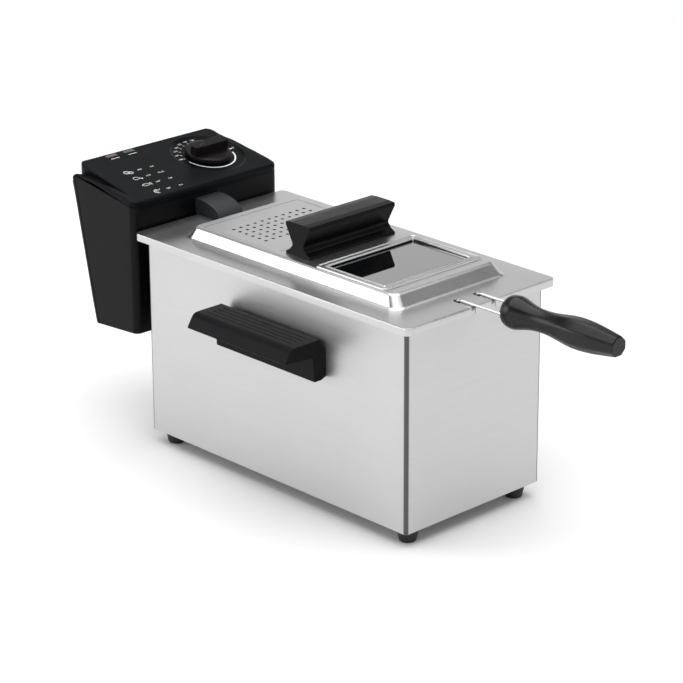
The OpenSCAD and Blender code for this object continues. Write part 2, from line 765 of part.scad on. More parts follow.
// Two stout wires that pass under the basket and carry it.
module basket_ribs() color("silver") at_housing() {
    rib_r = 1.5;
    bend = basket_edge + rib_r + weld_gap;
    half_w = basket_w / 2 + rib_r + weld_gap;
    up = basket_h - rim_d - 2 - bend + rib_r + weld_gap;
    across = 2 * (half_w - bend);
    for (y = [basket_mid - basket_l / 4, basket_mid + basket_l / 4])
        translate([-half_w, y, rim_z - rim_d - 2]) rotate([90, 90, 0])
            bent_rod([[up, 0, 90, bend], [across, 0, 90, bend], [up, 0, 0, 0]], rib_r);
}

// Plate and two sockets on the basket's front that take the handle wires.
module handle_bracket() color("silver") at_housing() {
    plate_d = 1.2;
    plate_y = basket_y0 - weld_gap - plate_d;
    difference() {
        union() {
            translate([-bracket_w / 2, plate_y, socket_z]) cube([bracket_w, plate_d, socket_h]);
            for (x = [-1, 1]) translate([x * wire_pitch / 2, 0, 0]) {
                translate([0, wire_y, socket_z]) cylinder(r = socket_r, h = socket_h);
                translate([-1, wire_y, socket_z]) cube([2, plate_y - wire_y + plate_d / 2, socket_h]);
            }
        }
        for (x = [-1, 1]) translate([x * wire_pitch / 2, wire_y, socket_z + 2])
            cylinder(d = wire_d + 2 * run_gap, h = socket_h);
    }
}

// Strip that hangs on the pot's rim while the basket drains.
module drain_hook() color("silver") at_housing() {
    hook_w = 30;
    hook_t = 1.2;
    reach = wire_y - wire_d / 2 - (basket_y0 - hook_t - weld_gap);
    translate([-hook_w / 2, basket_y0 - hook_t - weld_gap, socket_z - 22]) cube([hook_w, hook_t, 20]);
    translate([-hook_w / 2, wire_y - wire_d / 2, socket_z - 8]) cube([hook_w, -reach, hook_t]);
    translate([-hook_w / 2, wire_y - wire_d / 2, socket_z - 18]) cube([hook_w, hook_t, 10 + hook_t]);
}

module handle_wires() color("silver") at_housing() {
    rise = wire_z - wire_bend - socket_z - 4;
    out = wire_y - wire_bend - grip_y + wire_into_grip;
    for (x = [-1, 1])
        translate([x * wire_pitch / 2, wire_y, socket_z + 4]) rotate([0, -90, 0]) rotate([-90, 0, 0])
            rotate([90, 0, 0]) bent_rod([[rise, 0, -90, wire_bend], [out, 0, 0, 0]], wire_d / 2);
}

// Radius of the grip at a share t of its length.
function ease(a, b, t) = a + (b - a) * (1 - cos(180 * t)) / 2;
function grip_radius(t) =
    t < collar_at ? nose_r + (grip_r - nose_r) * sin(90 * t / collar_at) :
    t < neck_at ? ease(grip_r, neck_r, (t - collar_at) / (neck_at - collar_at)) :
    t < belly_at ? ease(neck_r, grip_r - 0.5, (t - neck_at) / (belly_at - neck_at)) :
    tail_r + (grip_r - 0.5 - tail_r) * cos(90 * (t - belly_at) / (1 - belly_at));

module basket_grip() color("black") at_housing() {
    rings = 28;
    difference() {
        translate([0, grip_y, wire_z]) rotate([90, 0, 0]) rotate_extrude() polygon(concat(
            [[0, 0]], [for (i = [0:rings]) [grip_radius(i / rings), grip_l * i / rings]], [[0, grip_l]]));
        for (x = [-1, 1]) translate([x * wire_pitch / 2, grip_y + bleed, wire_z]) rotate([90, 0, 0])
            cylinder(d = wire_d + 2 * run_gap, h = wire_into_grip + bleed + 0.5);
    }
}

// ---------- control unit ----------

// Height of the seam between shell and top cover at a share t of the depth.
function seam_z(t) = (panel_front_z - cover_front_h) + t * (panel_rise + cover_front_h - cover_rear_h)
    + seam_bulge * sin(180 * t) * (1 - t);
function seam_line(t0, t1, dz) = [
    for (i = [0:seam_steps]) let (t = t0 + (t1 - t0) * i / seam_steps)
        [ctrl_y + ctrl_top_d * t, seam_z(t) + dz]
];

// Clips an extruded side profile to the control unit's plan with round front corners.
module ctrl_plan(inset) {
    w = ctrl_w - 2 * inset;
    r = ctrl_r - inset;
    front = ctrl_y + inset;
    translate([0, 0, rear_low_z - 2 * bleed]) linear_extrude(panel_front_z + panel_rise - rear_low_z + 4 * bleed) {
        translate([-w / 2, front + r]) square([w, ctrl_top_d]);
        translate([-w / 2 + r, front]) square([w - 2 * r, ctrl_top_d]);
        for (s = [-1, 1]) translate([s * (w / 2 - r), front + r]) circle(r);
    }
}

module side_extrude(half, profile) {
    translate([-half, 0, 0]) rotate([90, 0, 90]) linear_extrude(2 * half) polygon(profile);
}

// Point on the rear face's line, pushed in by a distance, at a height.
function rear_y(z, push) = ctrl_y + ctrl_bot_d + (z - rear_low_z) * tan(lean) - push / cos(lean);

module control_shell() color([0.13, 0.13, 0.14]) at_housing() {
    rear_seat = wall;
    top = panel_front_z + panel_rise;
    inside_low = ctrl_bottom + wall;
    difference() {
        union() {
            difference() {
                intersection() {
                    side_extrude(ctrl_w / 2, concat(
                        [[ctrl_y, ctrl_bottom], [rear_y(rear_low_z, 0), rear_low_z]],
                        [for (p = seam_line(1, 0, -seam)) p]));
                    ctrl_plan(0);
                }
                intersection() {
                    side_extrude(ctrl_w / 2 - wall, [
                        [ctrl_y + wall, inside_low], [rear_y(rear_low_z, wall), rear_low_z + wall],
                        [rear_y(rear_low_z, -20), rear_low_z + wall],
                        [rear_y(top, -20), top], [ctrl_y + wall, top]]);
                    ctrl_plan(wall);
                }
            }
            guide_channels();
            rear_screw_places() translate([0, 0, -rear_seat - 12])
                cylinder(r = 4, h = 12 - drop_gap / 2);
        }
        rear_screw_places() translate([0, 0, -rear_seat - 12 - bleed])
            cylinder(d = rear_screw_d + 0.1, h = 12 + 2 * bleed);
        translate([-bridge_w / 2 + bridge_t, ctrl_y - bleed, plate_z - drop_gap])
            cube([bridge_w - 2 * bridge_t, wall + 2 * bleed, bridge_r - bridge_t]);
        translate([switch_x - tab_w / 2 - 1, switch_y - 1.5, ctrl_bottom - 2 * ctrl_bottom_rise])
            cube([tab_w + 2, tab_t + 3, 2 * ctrl_bottom_rise + wall + bleed]);
    }
}

// Channels on the shell's front that close round the housing's rails.
module guide_channels() {
    clear = channel_clear;
    depth = channel_d;
    low = ctrl_bottom + 6;
    channel_h = housing_top - low - 14;
    for (x = [-1, 1])
        translate([x * rail_x, ctrl_y, low]) linear_extrude(channel_h) difference() {
            translate([-channel_w / 2, -depth]) square([channel_w, depth + wall / 2]);
            translate([-rail_head_w / 2 - clear, rail_d - ctrl_gap - rail_head_t - clear])
                square([rail_head_w + 2 * clear, rail_head_t + 2 * clear]);
            translate([-rail_neck_w / 2 - clear, -depth - bleed]) square([rail_neck_w + 2 * clear, depth]);
        }
}

module rear_screw_places() {
    for (x = [-1, 1], up = [rear_screw_up, rear_len - rear_screw_up])
        on_rear(x * (ctrl_w / 2 - rear_screw_side), up) children();
}

// Sloping panel with its rim, closing the shell from above.
module top_cover() color([0.13, 0.13, 0.14]) at_housing() {
    top_rear = panel_front_z + panel_rise;
    difference() {
        union() {
            difference() {
                intersection() {
                    side_extrude(ctrl_w / 2, concat(
                        [[ctrl_y + ctrl_top_d, top_rear], [ctrl_y, panel_front_z]], seam_line(0, 1, 0)));
                    ctrl_plan(0);
                }
                intersection() {
                    side_extrude(ctrl_w / 2 - wall, [
                        [ctrl_y + wall, panel_front_z - wall + wall * tan(panel_slope)],
                        [ctrl_y + wall, panel_front_z - 20],
                        [ctrl_y + ctrl_top_d - wall, top_rear - 40],
                        [ctrl_y + ctrl_top_d - wall, top_rear - wall - wall * tan(panel_slope)]]);
                    ctrl_plan(wall);
                }
            }
            on_panel(dial_x, dial_front) translate([0, 0, -recess - floor_t])
                cylinder(r = dial_r + wall, h = recess + floor_t - wall / 2);
        }
        on_panel(dial_x, dial_front) translate([0, 0, -recess]) cylinder(r = dial_r, h = recess + bleed);
        on_panel(dial_x, dial_front) translate([0, 0, -recess - floor_t - bleed])
            cylinder(r = bushing_r + 0.1, h = recess + floor_t + 2 * bleed);
        for (x = lamp_x) on_panel(x, lamp_s) translate([-lens_w / 2 - 0.1, -lens_l / 2 - 0.1, -wall - bleed])
            cube([lens_w + 0.2, lens_l + 0.2, wall + 2 * bleed]);
    }
}

module rear_cover() color([0.13, 0.13, 0.14]) at_housing() {
    cover_half = ctrl_w / 2 - wall - drop_gap;
    low = rear_low_z + wall + drop_gap;
    high = rear_top_z - 3;
    difference() {
        side_extrude(cover_half, [
            [rear_y(low, wall), low], [rear_y(low, 0), low], [rear_y(high, 0), high], [rear_y(high, wall), high]]);
        rear_screw_places() translate([0, 0, -wall - bleed])
            cylinder(d = rear_screw_d + 0.4, h = wall + 2 * bleed);
        on_rear(reset_x, reset_up) translate([0, 0, -wall - bleed])
            cylinder(r = reset_r + run_gap, h = wall + 2 * bleed);
        on_rear(inlet_x, inlet_up) translate([0, 0, -wall - bleed])
            cylinder(r = inlet_r + 0.1, h = wall + 2 * bleed);
        for (i = [-4:4]) on_rear(i * 9, rear_len * 0.7) translate([-1.5, -14, -wall - bleed])
            cube([3, 28, wall + 2 * bleed]);
    }
}

module rear_screws() color("silver") at_housing() {
    rear_screw_places() rotate([180, 0, 0]) pan_screw(rear_screw_d, 5.6, 1.8, wall + 9);
}

module bridge_cover() color([0.13, 0.13, 0.14]) at_housing() {
    front = ctrl_y - bridge_l;
    difference() {
        bridge_body(bridge_w, front, bridge_r, 0);
        bridge_body(bridge_w - 2 * bridge_t, front + bridge_t, bridge_r - bridge_t, bleed);
    }
}

// A block with a quarter-round nose, taken down by a depth below the bridge's underside.
module bridge_body(w, front, r, below) {
    translate([-w / 2, 0, bridge_z]) rotate([90, 0, 90]) linear_extrude(w) {
        translate([front + r, -below]) square([ctrl_y - front - r + below, r + below]);
        intersection() {
            union() {
                translate([front + r, 0]) circle(r);
                translate([front, -r]) square([r, r]);
            }
            translate([front, -below]) square([r, r + below]);
        }
    }
}

// Steel plate that closes the bridge from below, holds the heater's legs and hooks inside the pot's rear wall.
module element_plate() color("silver") at_housing() {
    hook_y = leg_y + heater_d / 2 + 0.8;
    difference() {
        union() {
            translate([-bridge_w / 2, ctrl_y - bridge_l + 1, plate_z]) cube([bridge_w, bridge_l - 1, plate_t]);
            translate([-bridge_w / 2 + bridge_t + 1, ctrl_y - bleed, plate_z])
                cube([bridge_w - 2 * bridge_t - 2, wall + 6, plate_t]);
            translate([-bridge_w / 2, hook_y, plate_z - 50]) cube([bridge_w, plate_t, 50 + plate_t]);
        }
        for (x = [-1, 1]) translate([x * leg_pitch / 2, leg_y, plate_z - bleed])
            cylinder(d = heater_d + 0.1, h = plate_t + 2 * bleed);
        translate([0, leg_y, plate_z - bleed]) cylinder(r = capillary_r + 0.1, h = plate_t + 2 * bleed);
    }
}

// One tube from leg to leg: down, out, four runs along the pot, and back up.
module heating_element() color("dimgray") at_housing() {
    out = outer_x - leg_pitch / 2 - 2 * turn_r;
    drop = leg_top - heater_level - leg_bend;
    translate([-leg_pitch / 2, leg_y, leg_top])
        multmatrix([[0, 0, -1, 0], [0, -1, 0, 0], [-1, 0, 0, 0], [0, 0, 0, 1]])
            bent_rod([
                [drop, 0, 90, leg_bend], [link_l, 90, 90, turn_r], [out, 0, -90, turn_r],
                [run_l, 0, -180, loop_r], [inner_l, 0, 180, loop_r], [inner_l, 0, -180, loop_r],
                [run_l, 0, -90, turn_r], [out, 0, 90, turn_r], [link_l, -90, 90, leg_bend], [drop, 0, 0, 0]
            ], heater_d / 2);
}

module element_collars() color("goldenrod") at_housing() {
    for (x = [-1, 1]) translate([x * leg_pitch / 2, leg_y, plate_z + plate_t])
        tube(heater_d / 2 + 0.9, heater_d / 2 + 0.05, 3.2);
}

module sensor_bulb() color("peru") at_housing() {
    translate([0, bulb_front, bulb_z]) rotate([-90, 0, 0]) cylinder(r = bulb_r, h = bulb_l);
}

module capillary() color("peru") at_housing() {
    start = bulb_front + bulb_l;
    translate([0, start, bulb_z]) rotate([0, 0, 90]) rotate([90, 0, 0])
        bent_rod([
            [leg_y - capillary_bend - start, 0, 90, capillary_bend],
            [bridge_z + 5 - bulb_z - capillary_bend, 0, 0, 0]
        ], capillary_r);
}

// Strap over the two inner runs that carries the bulb.
module bulb_clip() color("silver") at_housing() {
    clip_l = 10;
    clip_t = 0.8;
    clip_r = heater_d / 2 + 0.05;
    for (y = [bulb_front + 8, bulb_front + bulb_l - 8 - clip_l]) translate([0, y, heater_level]) {
        for (x = [-1, 1]) translate([x * loop_r, 0, 0]) rotate([-90, 0, 0]) tube(clip_r + clip_t, clip_r, clip_l);
        translate([-loop_r, 0, clip_r + 0.05]) cube([2 * loop_r, clip_l, clip_t]);
    }
}

module thermostat_body() color("tan") at_housing() on_panel(dial_x, dial_front) {
    body_w = 34;
    body_h = 20;
    difference() {
        union() {
            translate([-body_w / 2, -body_w / 2, -recess - floor_t - body_h]) cube([body_w, body_w, body_h]);
            translate([0, 0, -recess - floor_t - 1]) cylinder(r = bushing_r, h = floor_t + recess + 0.2);
        }
        translate([0, 0, -recess - floor_t - body_h + 4])
            cylinder(r = spindle_r + run_gap, h = body_h + floor_t + recess);
    }
}

module thermostat_spindle() color("silver") at_housing() on_panel(dial_x, dial_front) {
    low = -recess - floor_t - 12;
    high = knob_h - 3;
    rotate([0, 0, knob_angle]) difference() {
        translate([0, 0, low]) cylinder(r = spindle_r, h = high - low);
        translate([spindle_r - flat_depth, -spindle_r, 0]) cube([2 * spindle_r, 2 * spindle_r, high + bleed]);
    }
}

// Skirt with a tapered bar across it; the bar's narrow end points along +X before it is turned.
module knob() color([0.07, 0.07, 0.08]) at_housing() on_panel(dial_x, dial_front) rotate([0, 0, knob_angle]) {
    skirt_low = -recess + drop_gap;
    skirt_top = 3;
    nib_w = 5.4;
    heel_w = 10;
    difference() {
        union() {
            translate([0, 0, skirt_low]) cylinder(r = knob_r, h = skirt_top - skirt_low);
            translate([0, 0, skirt_low]) linear_extrude(knob_h - skirt_low) intersection() {
                polygon([[-knob_r, -heel_w / 2], [knob_r, -nib_w / 2], [knob_r, nib_w / 2], [-knob_r, heel_w / 2]]);
                circle(knob_r - 0.5);
            }
        }
        translate([0, 0, skirt_low - bleed]) cylinder(r = bushing_r + 1, h = bleed + 2);
        translate([0, 0, skirt_low]) difference() {
            cylinder(r = spindle_r + run_gap, h = knob_h - 2 - skirt_low);
            translate([spindle_r + run_gap - flat_depth, -knob_r, 2])
                cube([knob_r, 2 * knob_r, knob_h]);
        }
    }
}

module knob_mark() color("white") at_housing() on_panel(dial_x, dial_front) rotate([0, 0, knob_angle])
    translate([knob_r - 9, -0.5, knob_h]) cube([7, 1, 0.2]);

module lens(x) on_panel(x, lamp_s) {
    proud = 0.5;
    translate([-lens_w / 2, -lens_l / 2, -wall - 1]) cube([lens_w, lens_l, wall + 1 + proud]);
}

module lens_red() color("darkred") at_housing() lens(lamp_x[0]);

module lens_green() color("darkgreen") at_housing() lens(lamp_x[1]);

module lamp_holders() color("white") at_housing() {
    for (x = lamp_x) on_panel(x, lamp_s)
        translate([-lens_w / 2 - 1, -13, -wall - 1 - 7]) cube([lens_w + 2, 12, 7]);
}

module safety_cutout() color("tan") at_housing() on_rear(reset_x, reset_up) {
    translate([-12, -12, -wall - 24]) cube([24, 24, 14]);
}

module reset_button() color("firebrick") at_housing() on_rear(reset_x, reset_up)
    translate([0, 0, -wall - 5]) cylinder(r = reset_r, h = wall + 5.5);

module terminal_block() color("ivory") at_housing() {
    poles = 3;
    pole_w = 11;
    translate([inlet_x - poles * pole_w / 2, ctrl_y + 24, ctrl_bottom + wall + 3]) difference() {
        cube([poles * pole_w, 14, 12]);
        for (i = [0:poles - 1]) translate([(i + 0.5) * pole_w, 7, 5]) cylinder(d = 5, h = 12);
    }
}

// Bush in the rear cover that the mains lead enters by.
module cord_inlet() color([0.1, 0.1, 0.1]) at_housing() on_rear(inlet_x, inlet_up) difference() {
    union() {
        translate([0, 0, -wall - 3]) cylinder(r = inlet_r, h = wall + 3);
        cylinder(r = inlet_r + 2, h = 2.5);
    }
    translate([0, 0, -wall - 3 - bleed]) cylinder(r = inlet_bore_r, h = wall + 6 + 2 * bleed);
}

module microswitch() color("black") at_housing() {
    body = [20, 8, 12];
    difference() {
        translate([switch_x - body[0] / 2, switch_y + tab_t / 2 - body[1] / 2, plunger_z + 3]) cube(body);
        translate([switch_x, switch_y + tab_t / 2, plunger_z + 3 - bleed])
            cylinder(r = plunger_r + run_gap, h = 5 + bleed);
    }
}

module interlock_plunger() color("white") at_housing()
    translate([switch_x, switch_y + tab_t / 2, plunger_z]) cylinder(r = plunger_r, h = 5.5);

housing_shell();
base_plate();
feet();
foot_screws();
side_handle_left();
side_handle_right();
side_handle_screws();
guide_rails();
interlock_bracket();
oil_pot();
control_shell();
top_cover();
rear_cover();
rear_screws();
bridge_cover();
element_plate();
heating_element();
element_collars();
sensor_bulb();
capillary();
bulb_clip();
thermostat_body();
lens_red();
lens_green();
lamp_holders();
safety_cutout();
terminal_block();
cord_inlet();
microswitch();
interlock_plunger();
reset_button();
thermostat_spindle();
knob();
knob_mark();
basket_mesh();
basket_rim();
basket_ribs();
handle_bracket();
drain_hook();
handle_wires();
basket_grip();
lid_shell();
lid_handle();
lid_handle_screws();
window_bezel();
window_glass();
window_seal();
window_retainer();
filter_tray();
filter_pads();
filter_cover();
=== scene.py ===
"""Table-top deep fryer: steel housing, pressed lid, control unit with dial, side grips and frying basket."""

import json
import math

import bmesh
import bpy
from bpy.props import FloatProperty, FloatVectorProperty, IntProperty, PointerProperty
from bpy.types import Operator, Panel, PropertyGroup
from mathutils import Matrix, Vector


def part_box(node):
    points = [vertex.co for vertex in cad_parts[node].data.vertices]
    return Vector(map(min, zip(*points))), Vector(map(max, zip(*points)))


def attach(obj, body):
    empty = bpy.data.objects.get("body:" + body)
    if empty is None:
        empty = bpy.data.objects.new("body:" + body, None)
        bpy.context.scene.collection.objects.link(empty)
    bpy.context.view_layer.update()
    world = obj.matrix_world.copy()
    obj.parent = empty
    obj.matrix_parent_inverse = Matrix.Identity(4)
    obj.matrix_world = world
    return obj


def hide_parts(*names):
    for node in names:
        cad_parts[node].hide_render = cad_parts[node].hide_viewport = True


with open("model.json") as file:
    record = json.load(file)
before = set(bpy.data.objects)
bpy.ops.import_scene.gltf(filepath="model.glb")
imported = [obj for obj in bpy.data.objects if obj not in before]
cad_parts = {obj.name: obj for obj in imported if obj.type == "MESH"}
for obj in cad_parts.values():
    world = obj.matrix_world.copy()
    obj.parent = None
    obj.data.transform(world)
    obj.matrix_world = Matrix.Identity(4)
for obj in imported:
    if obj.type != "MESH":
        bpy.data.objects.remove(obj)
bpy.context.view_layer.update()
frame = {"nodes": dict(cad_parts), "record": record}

bl_info = {
    "name": "Deep Fryer",
    "version": (1, 0, 0),
    "blender": (4, 5, 0),
    "location": "View3D > Sidebar > Fryer",
    "description": "Builds the visible pieces of a table-top deep fryer around its mechanical frame",
    "category": "Object",
}

MM = 0.001                       # the outlines below are in millimetres


def box_mm(node):
    low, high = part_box(node)
    return low / MM, high / MM


def body_of(node):
    """The name of the moving body that a frame node belongs to."""
    return next(name for name, nodes in frame["record"]["behaviour"]["bodies"].items() if node in nodes)


HOUSING_LOW, HOUSING_HIGH = box_mm("housing_shell")
LID_LOW, LID_HIGH = box_mm("lid_shell")
COVER_LOW, COVER_HIGH = box_mm("top_cover")
SHELL_LOW, SHELL_HIGH = box_mm("control_shell")
BEZEL_LOW, BEZEL_HIGH = box_mm("window_bezel")
GLASS_LOW, GLASS_HIGH = box_mm("window_glass")
VENT_LOW, VENT_HIGH = box_mm("filter_cover")
MESH_LOW, MESH_HIGH = box_mm("basket_mesh")
GRIP_LOW, GRIP_HIGH = box_mm("basket_grip")
WIRES_LOW, WIRES_HIGH = box_mm("handle_wires")
HANDLE_LOW, HANDLE_HIGH = box_mm("lid_handle")
BRIDGE_LOW, BRIDGE_HIGH = box_mm("bridge_cover")
LID_TOP = LID_HIGH.z
WIRE_RADIUS = 1.3                # of the basket handle's wires


# ---------- settings ----------

class FryerFinishes(PropertyGroup):
    """Colours and gloss of the fryer's materials."""

    steel: FloatVectorProperty(
        name="Steel", description="Colour of the brushed steel sheet",
        subtype="COLOR", size=3, min=0, max=1, default=(0.56, 0.56, 0.565))
    steel_roughness: FloatProperty(
        name="Steel roughness", description="How dull the brushed steel is",
        subtype="FACTOR", min=0, max=1, default=0.44)
    plastic: FloatVectorProperty(
        name="Plastic", description="Colour of the black mouldings",
        subtype="COLOR", size=3, min=0, max=1, default=(0.0018, 0.002, 0.0025))
    plastic_roughness: FloatProperty(
        name="Plastic roughness", description="How dull the black mouldings are",
        subtype="FACTOR", min=0, max=1, default=0.4)
    knob: FloatVectorProperty(
        name="Knob", description="Colour of the dial's knob",
        subtype="COLOR", size=3, min=0, max=1, default=(0.0045, 0.0034, 0.0036))
    print_white: FloatVectorProperty(
        name="Print", description="Colour of the marks printed on the panel",
        subtype="COLOR", size=3, min=0, max=1, default=(0.82, 0.84, 0.85))
    floor: FloatVectorProperty(
        name="Floor", description="Colour of the floor",
        subtype="COLOR", size=3, min=0, max=1, default=(0.97, 0.97, 0.97))


class FryerSizes(PropertyGroup):
    """Sizes of the details that the mechanical frame leaves plain."""

    sheet: FloatProperty(
        name="Sheet", description="Thickness of the pressed steel sheet",
        unit="LENGTH", min=0.0005, max=0.0015, default=0.001)
    sheet_bend: FloatProperty(
        name="Sheet bend", description="Outside radius of a folded sheet edge",
        unit="LENGTH", min=0.0005, max=0.003, default=0.0012)
    press_radius: FloatProperty(
        name="Press radius", description="Radius of the soft bends round the lid's raised middle",
        unit="LENGTH", min=0.001, max=0.005, default=0.003)
    hole_diameter: FloatProperty(
        name="Steam hole", description="Diameter of a steam hole in the filter cover",
        unit="LENGTH", min=0.002, max=0.0045, default=0.0032)
    hole_pitch: FloatProperty(
        name="Hole pitch", description="Spacing of the steam holes",
        unit="LENGTH", min=0.0065, max=0.009, default=0.00825)
    hole_rows: IntProperty(
        name="Hole rows", description="Rows of steam holes", min=2, max=8, default=6)
    hole_columns: IntProperty(
        name="Hole columns", description="Steam holes in a row", min=4, max=13, default=11)
    basket_pitch: FloatProperty(
        name="Basket pitch", description="Spacing of the basket's woven wires",
        unit="LENGTH", min=0.004, max=0.012, default=0.0058)
    basket_wire: FloatProperty(
        name="Basket wire", description="Diameter of the basket's woven wires",
        unit="LENGTH", min=0.0006, max=0.0016, default=0.001)


def finishes():
    return bpy.context.scene.fryer_finishes


def sizes():
    return bpy.context.scene.fryer_sizes


# ---------- shapes, in millimetres ----------

def rounded_outline(x0, x1, y0, y1, radius, rear_radius=None, steps=6):
    """A rounded rectangle, anticlockwise from its right-hand rear corner."""
    rear = radius if rear_radius is None else rear_radius
    corners = (
        (x1, y1, rear, 0, -1, -1), (x0, y1, rear, 90, 1, -1),
        (x0, y0, radius, 180, 1, 1), (x1, y0, radius, 270, -1, 1))
    points = []
    for x, y, r, start, towards_x, towards_y in corners:
        r = max(r, 0.05)
        for i in range(steps + 1):
            turn = math.radians(start + 90 * i / steps)
            points.append((x + towards_x * r + r * math.cos(turn), y + towards_y * r + r * math.sin(turn)))
    return points


def filleted(points, radii, steps=4):
    """A flat outline with an arc at each inner corner; radii is one value or one for each corner."""
    if not hasattr(radii, "__len__"):
        radii = [radii] * len(points)
    path = [Vector(points[0])]
    for before, corner, after, radius in zip(points, points[1:], points[2:], radii[1:]):
        path.extend(corner_arc(Vector(before), Vector(corner), Vector(after), radius, steps))
    path.append(Vector(points[-1]))
    return path


def corner_arc(before, corner, after, radius, steps):
    into, out = (corner - before), (after - corner)
    turn = into.angle(out, 0)
    if radius <= 0 or turn < 1e-3:
        return [corner]
    setback = min(radius * math.tan(turn / 2), into.length * 0.49, out.length * 0.49)
    start, end = corner - into.normalized() * setback, corner + out.normalized() * setback
    arc = []
    for i in range(steps + 1):
        t = i / steps
        # a circular arc as a rational quadratic curve
        w = math.cos(turn / 2)
        a, b, c = (1 - t) ** 2, 2 * t * (1 - t) * w, t ** 2
        arc.append((start * a + corner * b + end * c) / (a + b + c))
    return arc


def rounded_polygon(points, radii, steps=4):
    """A closed flat outline with an arc at every corner."""
    if not hasattr(radii, "__len__"):
        radii = [radii] * len(points)
    count = len(points)
    path = []
    for i in range(count):
        path.extend(corner_arc(
            Vector(points[i - 1]), Vector(points[i]), Vector(points[(i + 1) % count]), radii[i], steps))
    return path


def skin(rings, cap=True, loop=False):
    """A closed skin over rings of equal count."""
    mesh = bmesh.new()
    rows = [[mesh.verts.new(p) for p in ring] for ring in rings]
    count = len(rows[0])
    pairs = list(zip(rows, rows[1:]))
    if loop:
        pairs.append((rows[-1], rows[0]))
    for low, high in pairs:
        for i in range(count):
            j = (i + 1) % count
            mesh.faces.new((low[i], low[j], high[j], high[i]))
    if cap and not loop:
        mesh.faces.new(rows[0][::-1])
        mesh.faces.new(rows[-1])
    return mesh


def level(outline, z):
    return [(x, y, z) for x, y in outline]


def prism(outline, place):
    """A solid between two copies of an outline; place(point, end) gives a corner at end 0 or 1."""
    return skin([[place(p, 0) for p in outline], [place(p, 1) for p in outline]])


def plate(outline, z0, z1, edge, steps=3):
    """A flat slab whose upper edge is rounded; outline(inset) gives its rings."""
    rings = [level(outline(0), z0)]
    for i in range(steps + 1):
        turn = math.pi / 2 * i / steps
        rings.append(level(outline(edge * (1 - math.cos(turn))), z1 - edge + edge * math.sin(turn)))
    return skin(rings)


def lathe(profile, segments=64):
    """A solid of revolution about Z; the profile runs from axis to axis."""
    rings = []
    for radius, z in profile:
        r = max(radius, 1e-4)
        rings.append([
            (r * math.cos(2 * math.pi * i / segments), r * math.sin(2 * math.pi * i / segments), z)
            for i in range(segments)])
    return skin(rings)


def tube(path, radius, sides=12):
    """A round wire along a path, closed at both ends."""
    path = [Vector(p) for p in path]
    side = None
    rings = []
    for i, point in enumerate(path):
        ahead = (path[min(i + 1, len(path) - 1)] - path[max(i - 1, 0)]).normalized()
        if side is None:
            side = ahead.orthogonal().normalized()
        side = (side - ahead * side.dot(ahead)).normalized()
        up = ahead.cross(side)
        turns = [2 * math.pi * k / sides for k in range(sides)]
        rings.append([point + radius * (side * math.cos(turn) + up * math.sin(turn)) for turn in turns])
    return skin(rings)


def join(*parts):
    """Several meshes as one."""
    whole = bmesh.new()
    for part in parts:
        part.verts.index_update()
        made = [whole.verts.new(v.co) for v in part.verts]
        for face in part.faces:
            whole.faces.new([made[v.index] for v in face.verts])
        part.free()
    return whole


def moved(mesh, matrix):
    mesh.transform(matrix)
    return mesh


def loose_object(mesh, name):
    """A scene object from a bmesh, still in millimetres, with its faces pointing out."""
    bmesh.ops.remove_doubles(mesh, verts=mesh.verts, dist=1e-3)
    bmesh.ops.dissolve_degenerate(mesh, edges=mesh.edges, dist=1e-4)
    bmesh.ops.recalc_face_normals(mesh, faces=mesh.faces)
    data = bpy.data.meshes.new(name)
    mesh.to_mesh(data)
    mesh.free()
    made = bpy.data.objects.new(name, data)
    bpy.context.scene.collection.objects.link(made)
    return made


def work_in(made):
    """Turns the object's modifiers into its mesh."""
    bpy.context.view_layer.update()
    shown = made.evaluated_get(bpy.context.evaluated_depsgraph_get())
    data = bpy.data.meshes.new_from_object(shown)
    made.modifiers.clear()
    made.data = data
    return made


def cut(made, cutter, solver="EXACT"):
    """Takes a bmesh away from an object."""
    tool = loose_object(cutter, "cutter")
    change = made.modifiers.new("cut", "BOOLEAN")
    change.operation = "DIFFERENCE"
    change.solver = solver
    change.object = tool
    work_in(made)
    bpy.data.objects.remove(tool)
    return made


def bevel(made, width, segments=2, angle=35):
    """Rounds the sharp edges."""
    change = made.modifiers.new("bevel", "BEVEL")
    change.width = width
    change.segments = segments
    change.limit_method = "ANGLE"
    change.angle_limit = math.radians(angle)
    change.use_clamp_overlap = True
    return work_in(made)


def finish_piece(made, body, material, *nodes, slot=None, angle=32, weighted=True):
    """Scales a loose object to metres, smooths it, gives it its material and hands it to its body."""
    made.data.transform(Matrix.Scale(MM, 4))
    made.data.materials.clear()
    made.data.materials.append(material)
    made.data.polygons.foreach_set("material_index", [0] * len(made.data.polygons))
    made.data.shade_smooth()
    made.data.set_sharp_from_angle(angle=math.radians(angle))
    if weighted:
        change = made.modifiers.new("normals", "WEIGHTED_NORMAL")
        change.keep_sharp = True
        work_in(made)
    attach(made, body)
    if nodes:
        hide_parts(*nodes)
    return made


def piece(mesh, name, body, material, *nodes, slot=None, edge=0, angle=32):
    """A finished piece straight from a bmesh."""
    made = loose_object(mesh, name)
    if edge:
        bevel(made, edge)
    return finish_piece(made, body, material, *nodes, slot=slot, angle=angle)


def refined(node, name, body, material, edge=0.3, slot=None):
    """A copy of a frame node with its triangles merged, its edges rounded and its round faces smooth."""
    mesh = bmesh.new()
    mesh.from_mesh(frame["nodes"][node].data)
    mesh.transform(Matrix.Scale(1 / MM, 4))
    bmesh.ops.remove_doubles(mesh, verts=mesh.verts, dist=5e-3)
    bmesh.ops.dissolve_limit(mesh, angle_limit=math.radians(0.6), verts=mesh.verts, edges=mesh.edges)
    data = bpy.data.meshes.new(name)
    mesh.to_mesh(data)
    mesh.free()
    made = bpy.data.objects.new(name, data)
    bpy.context.scene.collection.objects.link(made)
    if edge:
        bevel(made, edge, segments=2, angle=40)
    return finish_piece(made, body, material, node, slot=slot)


# ---------- materials ----------

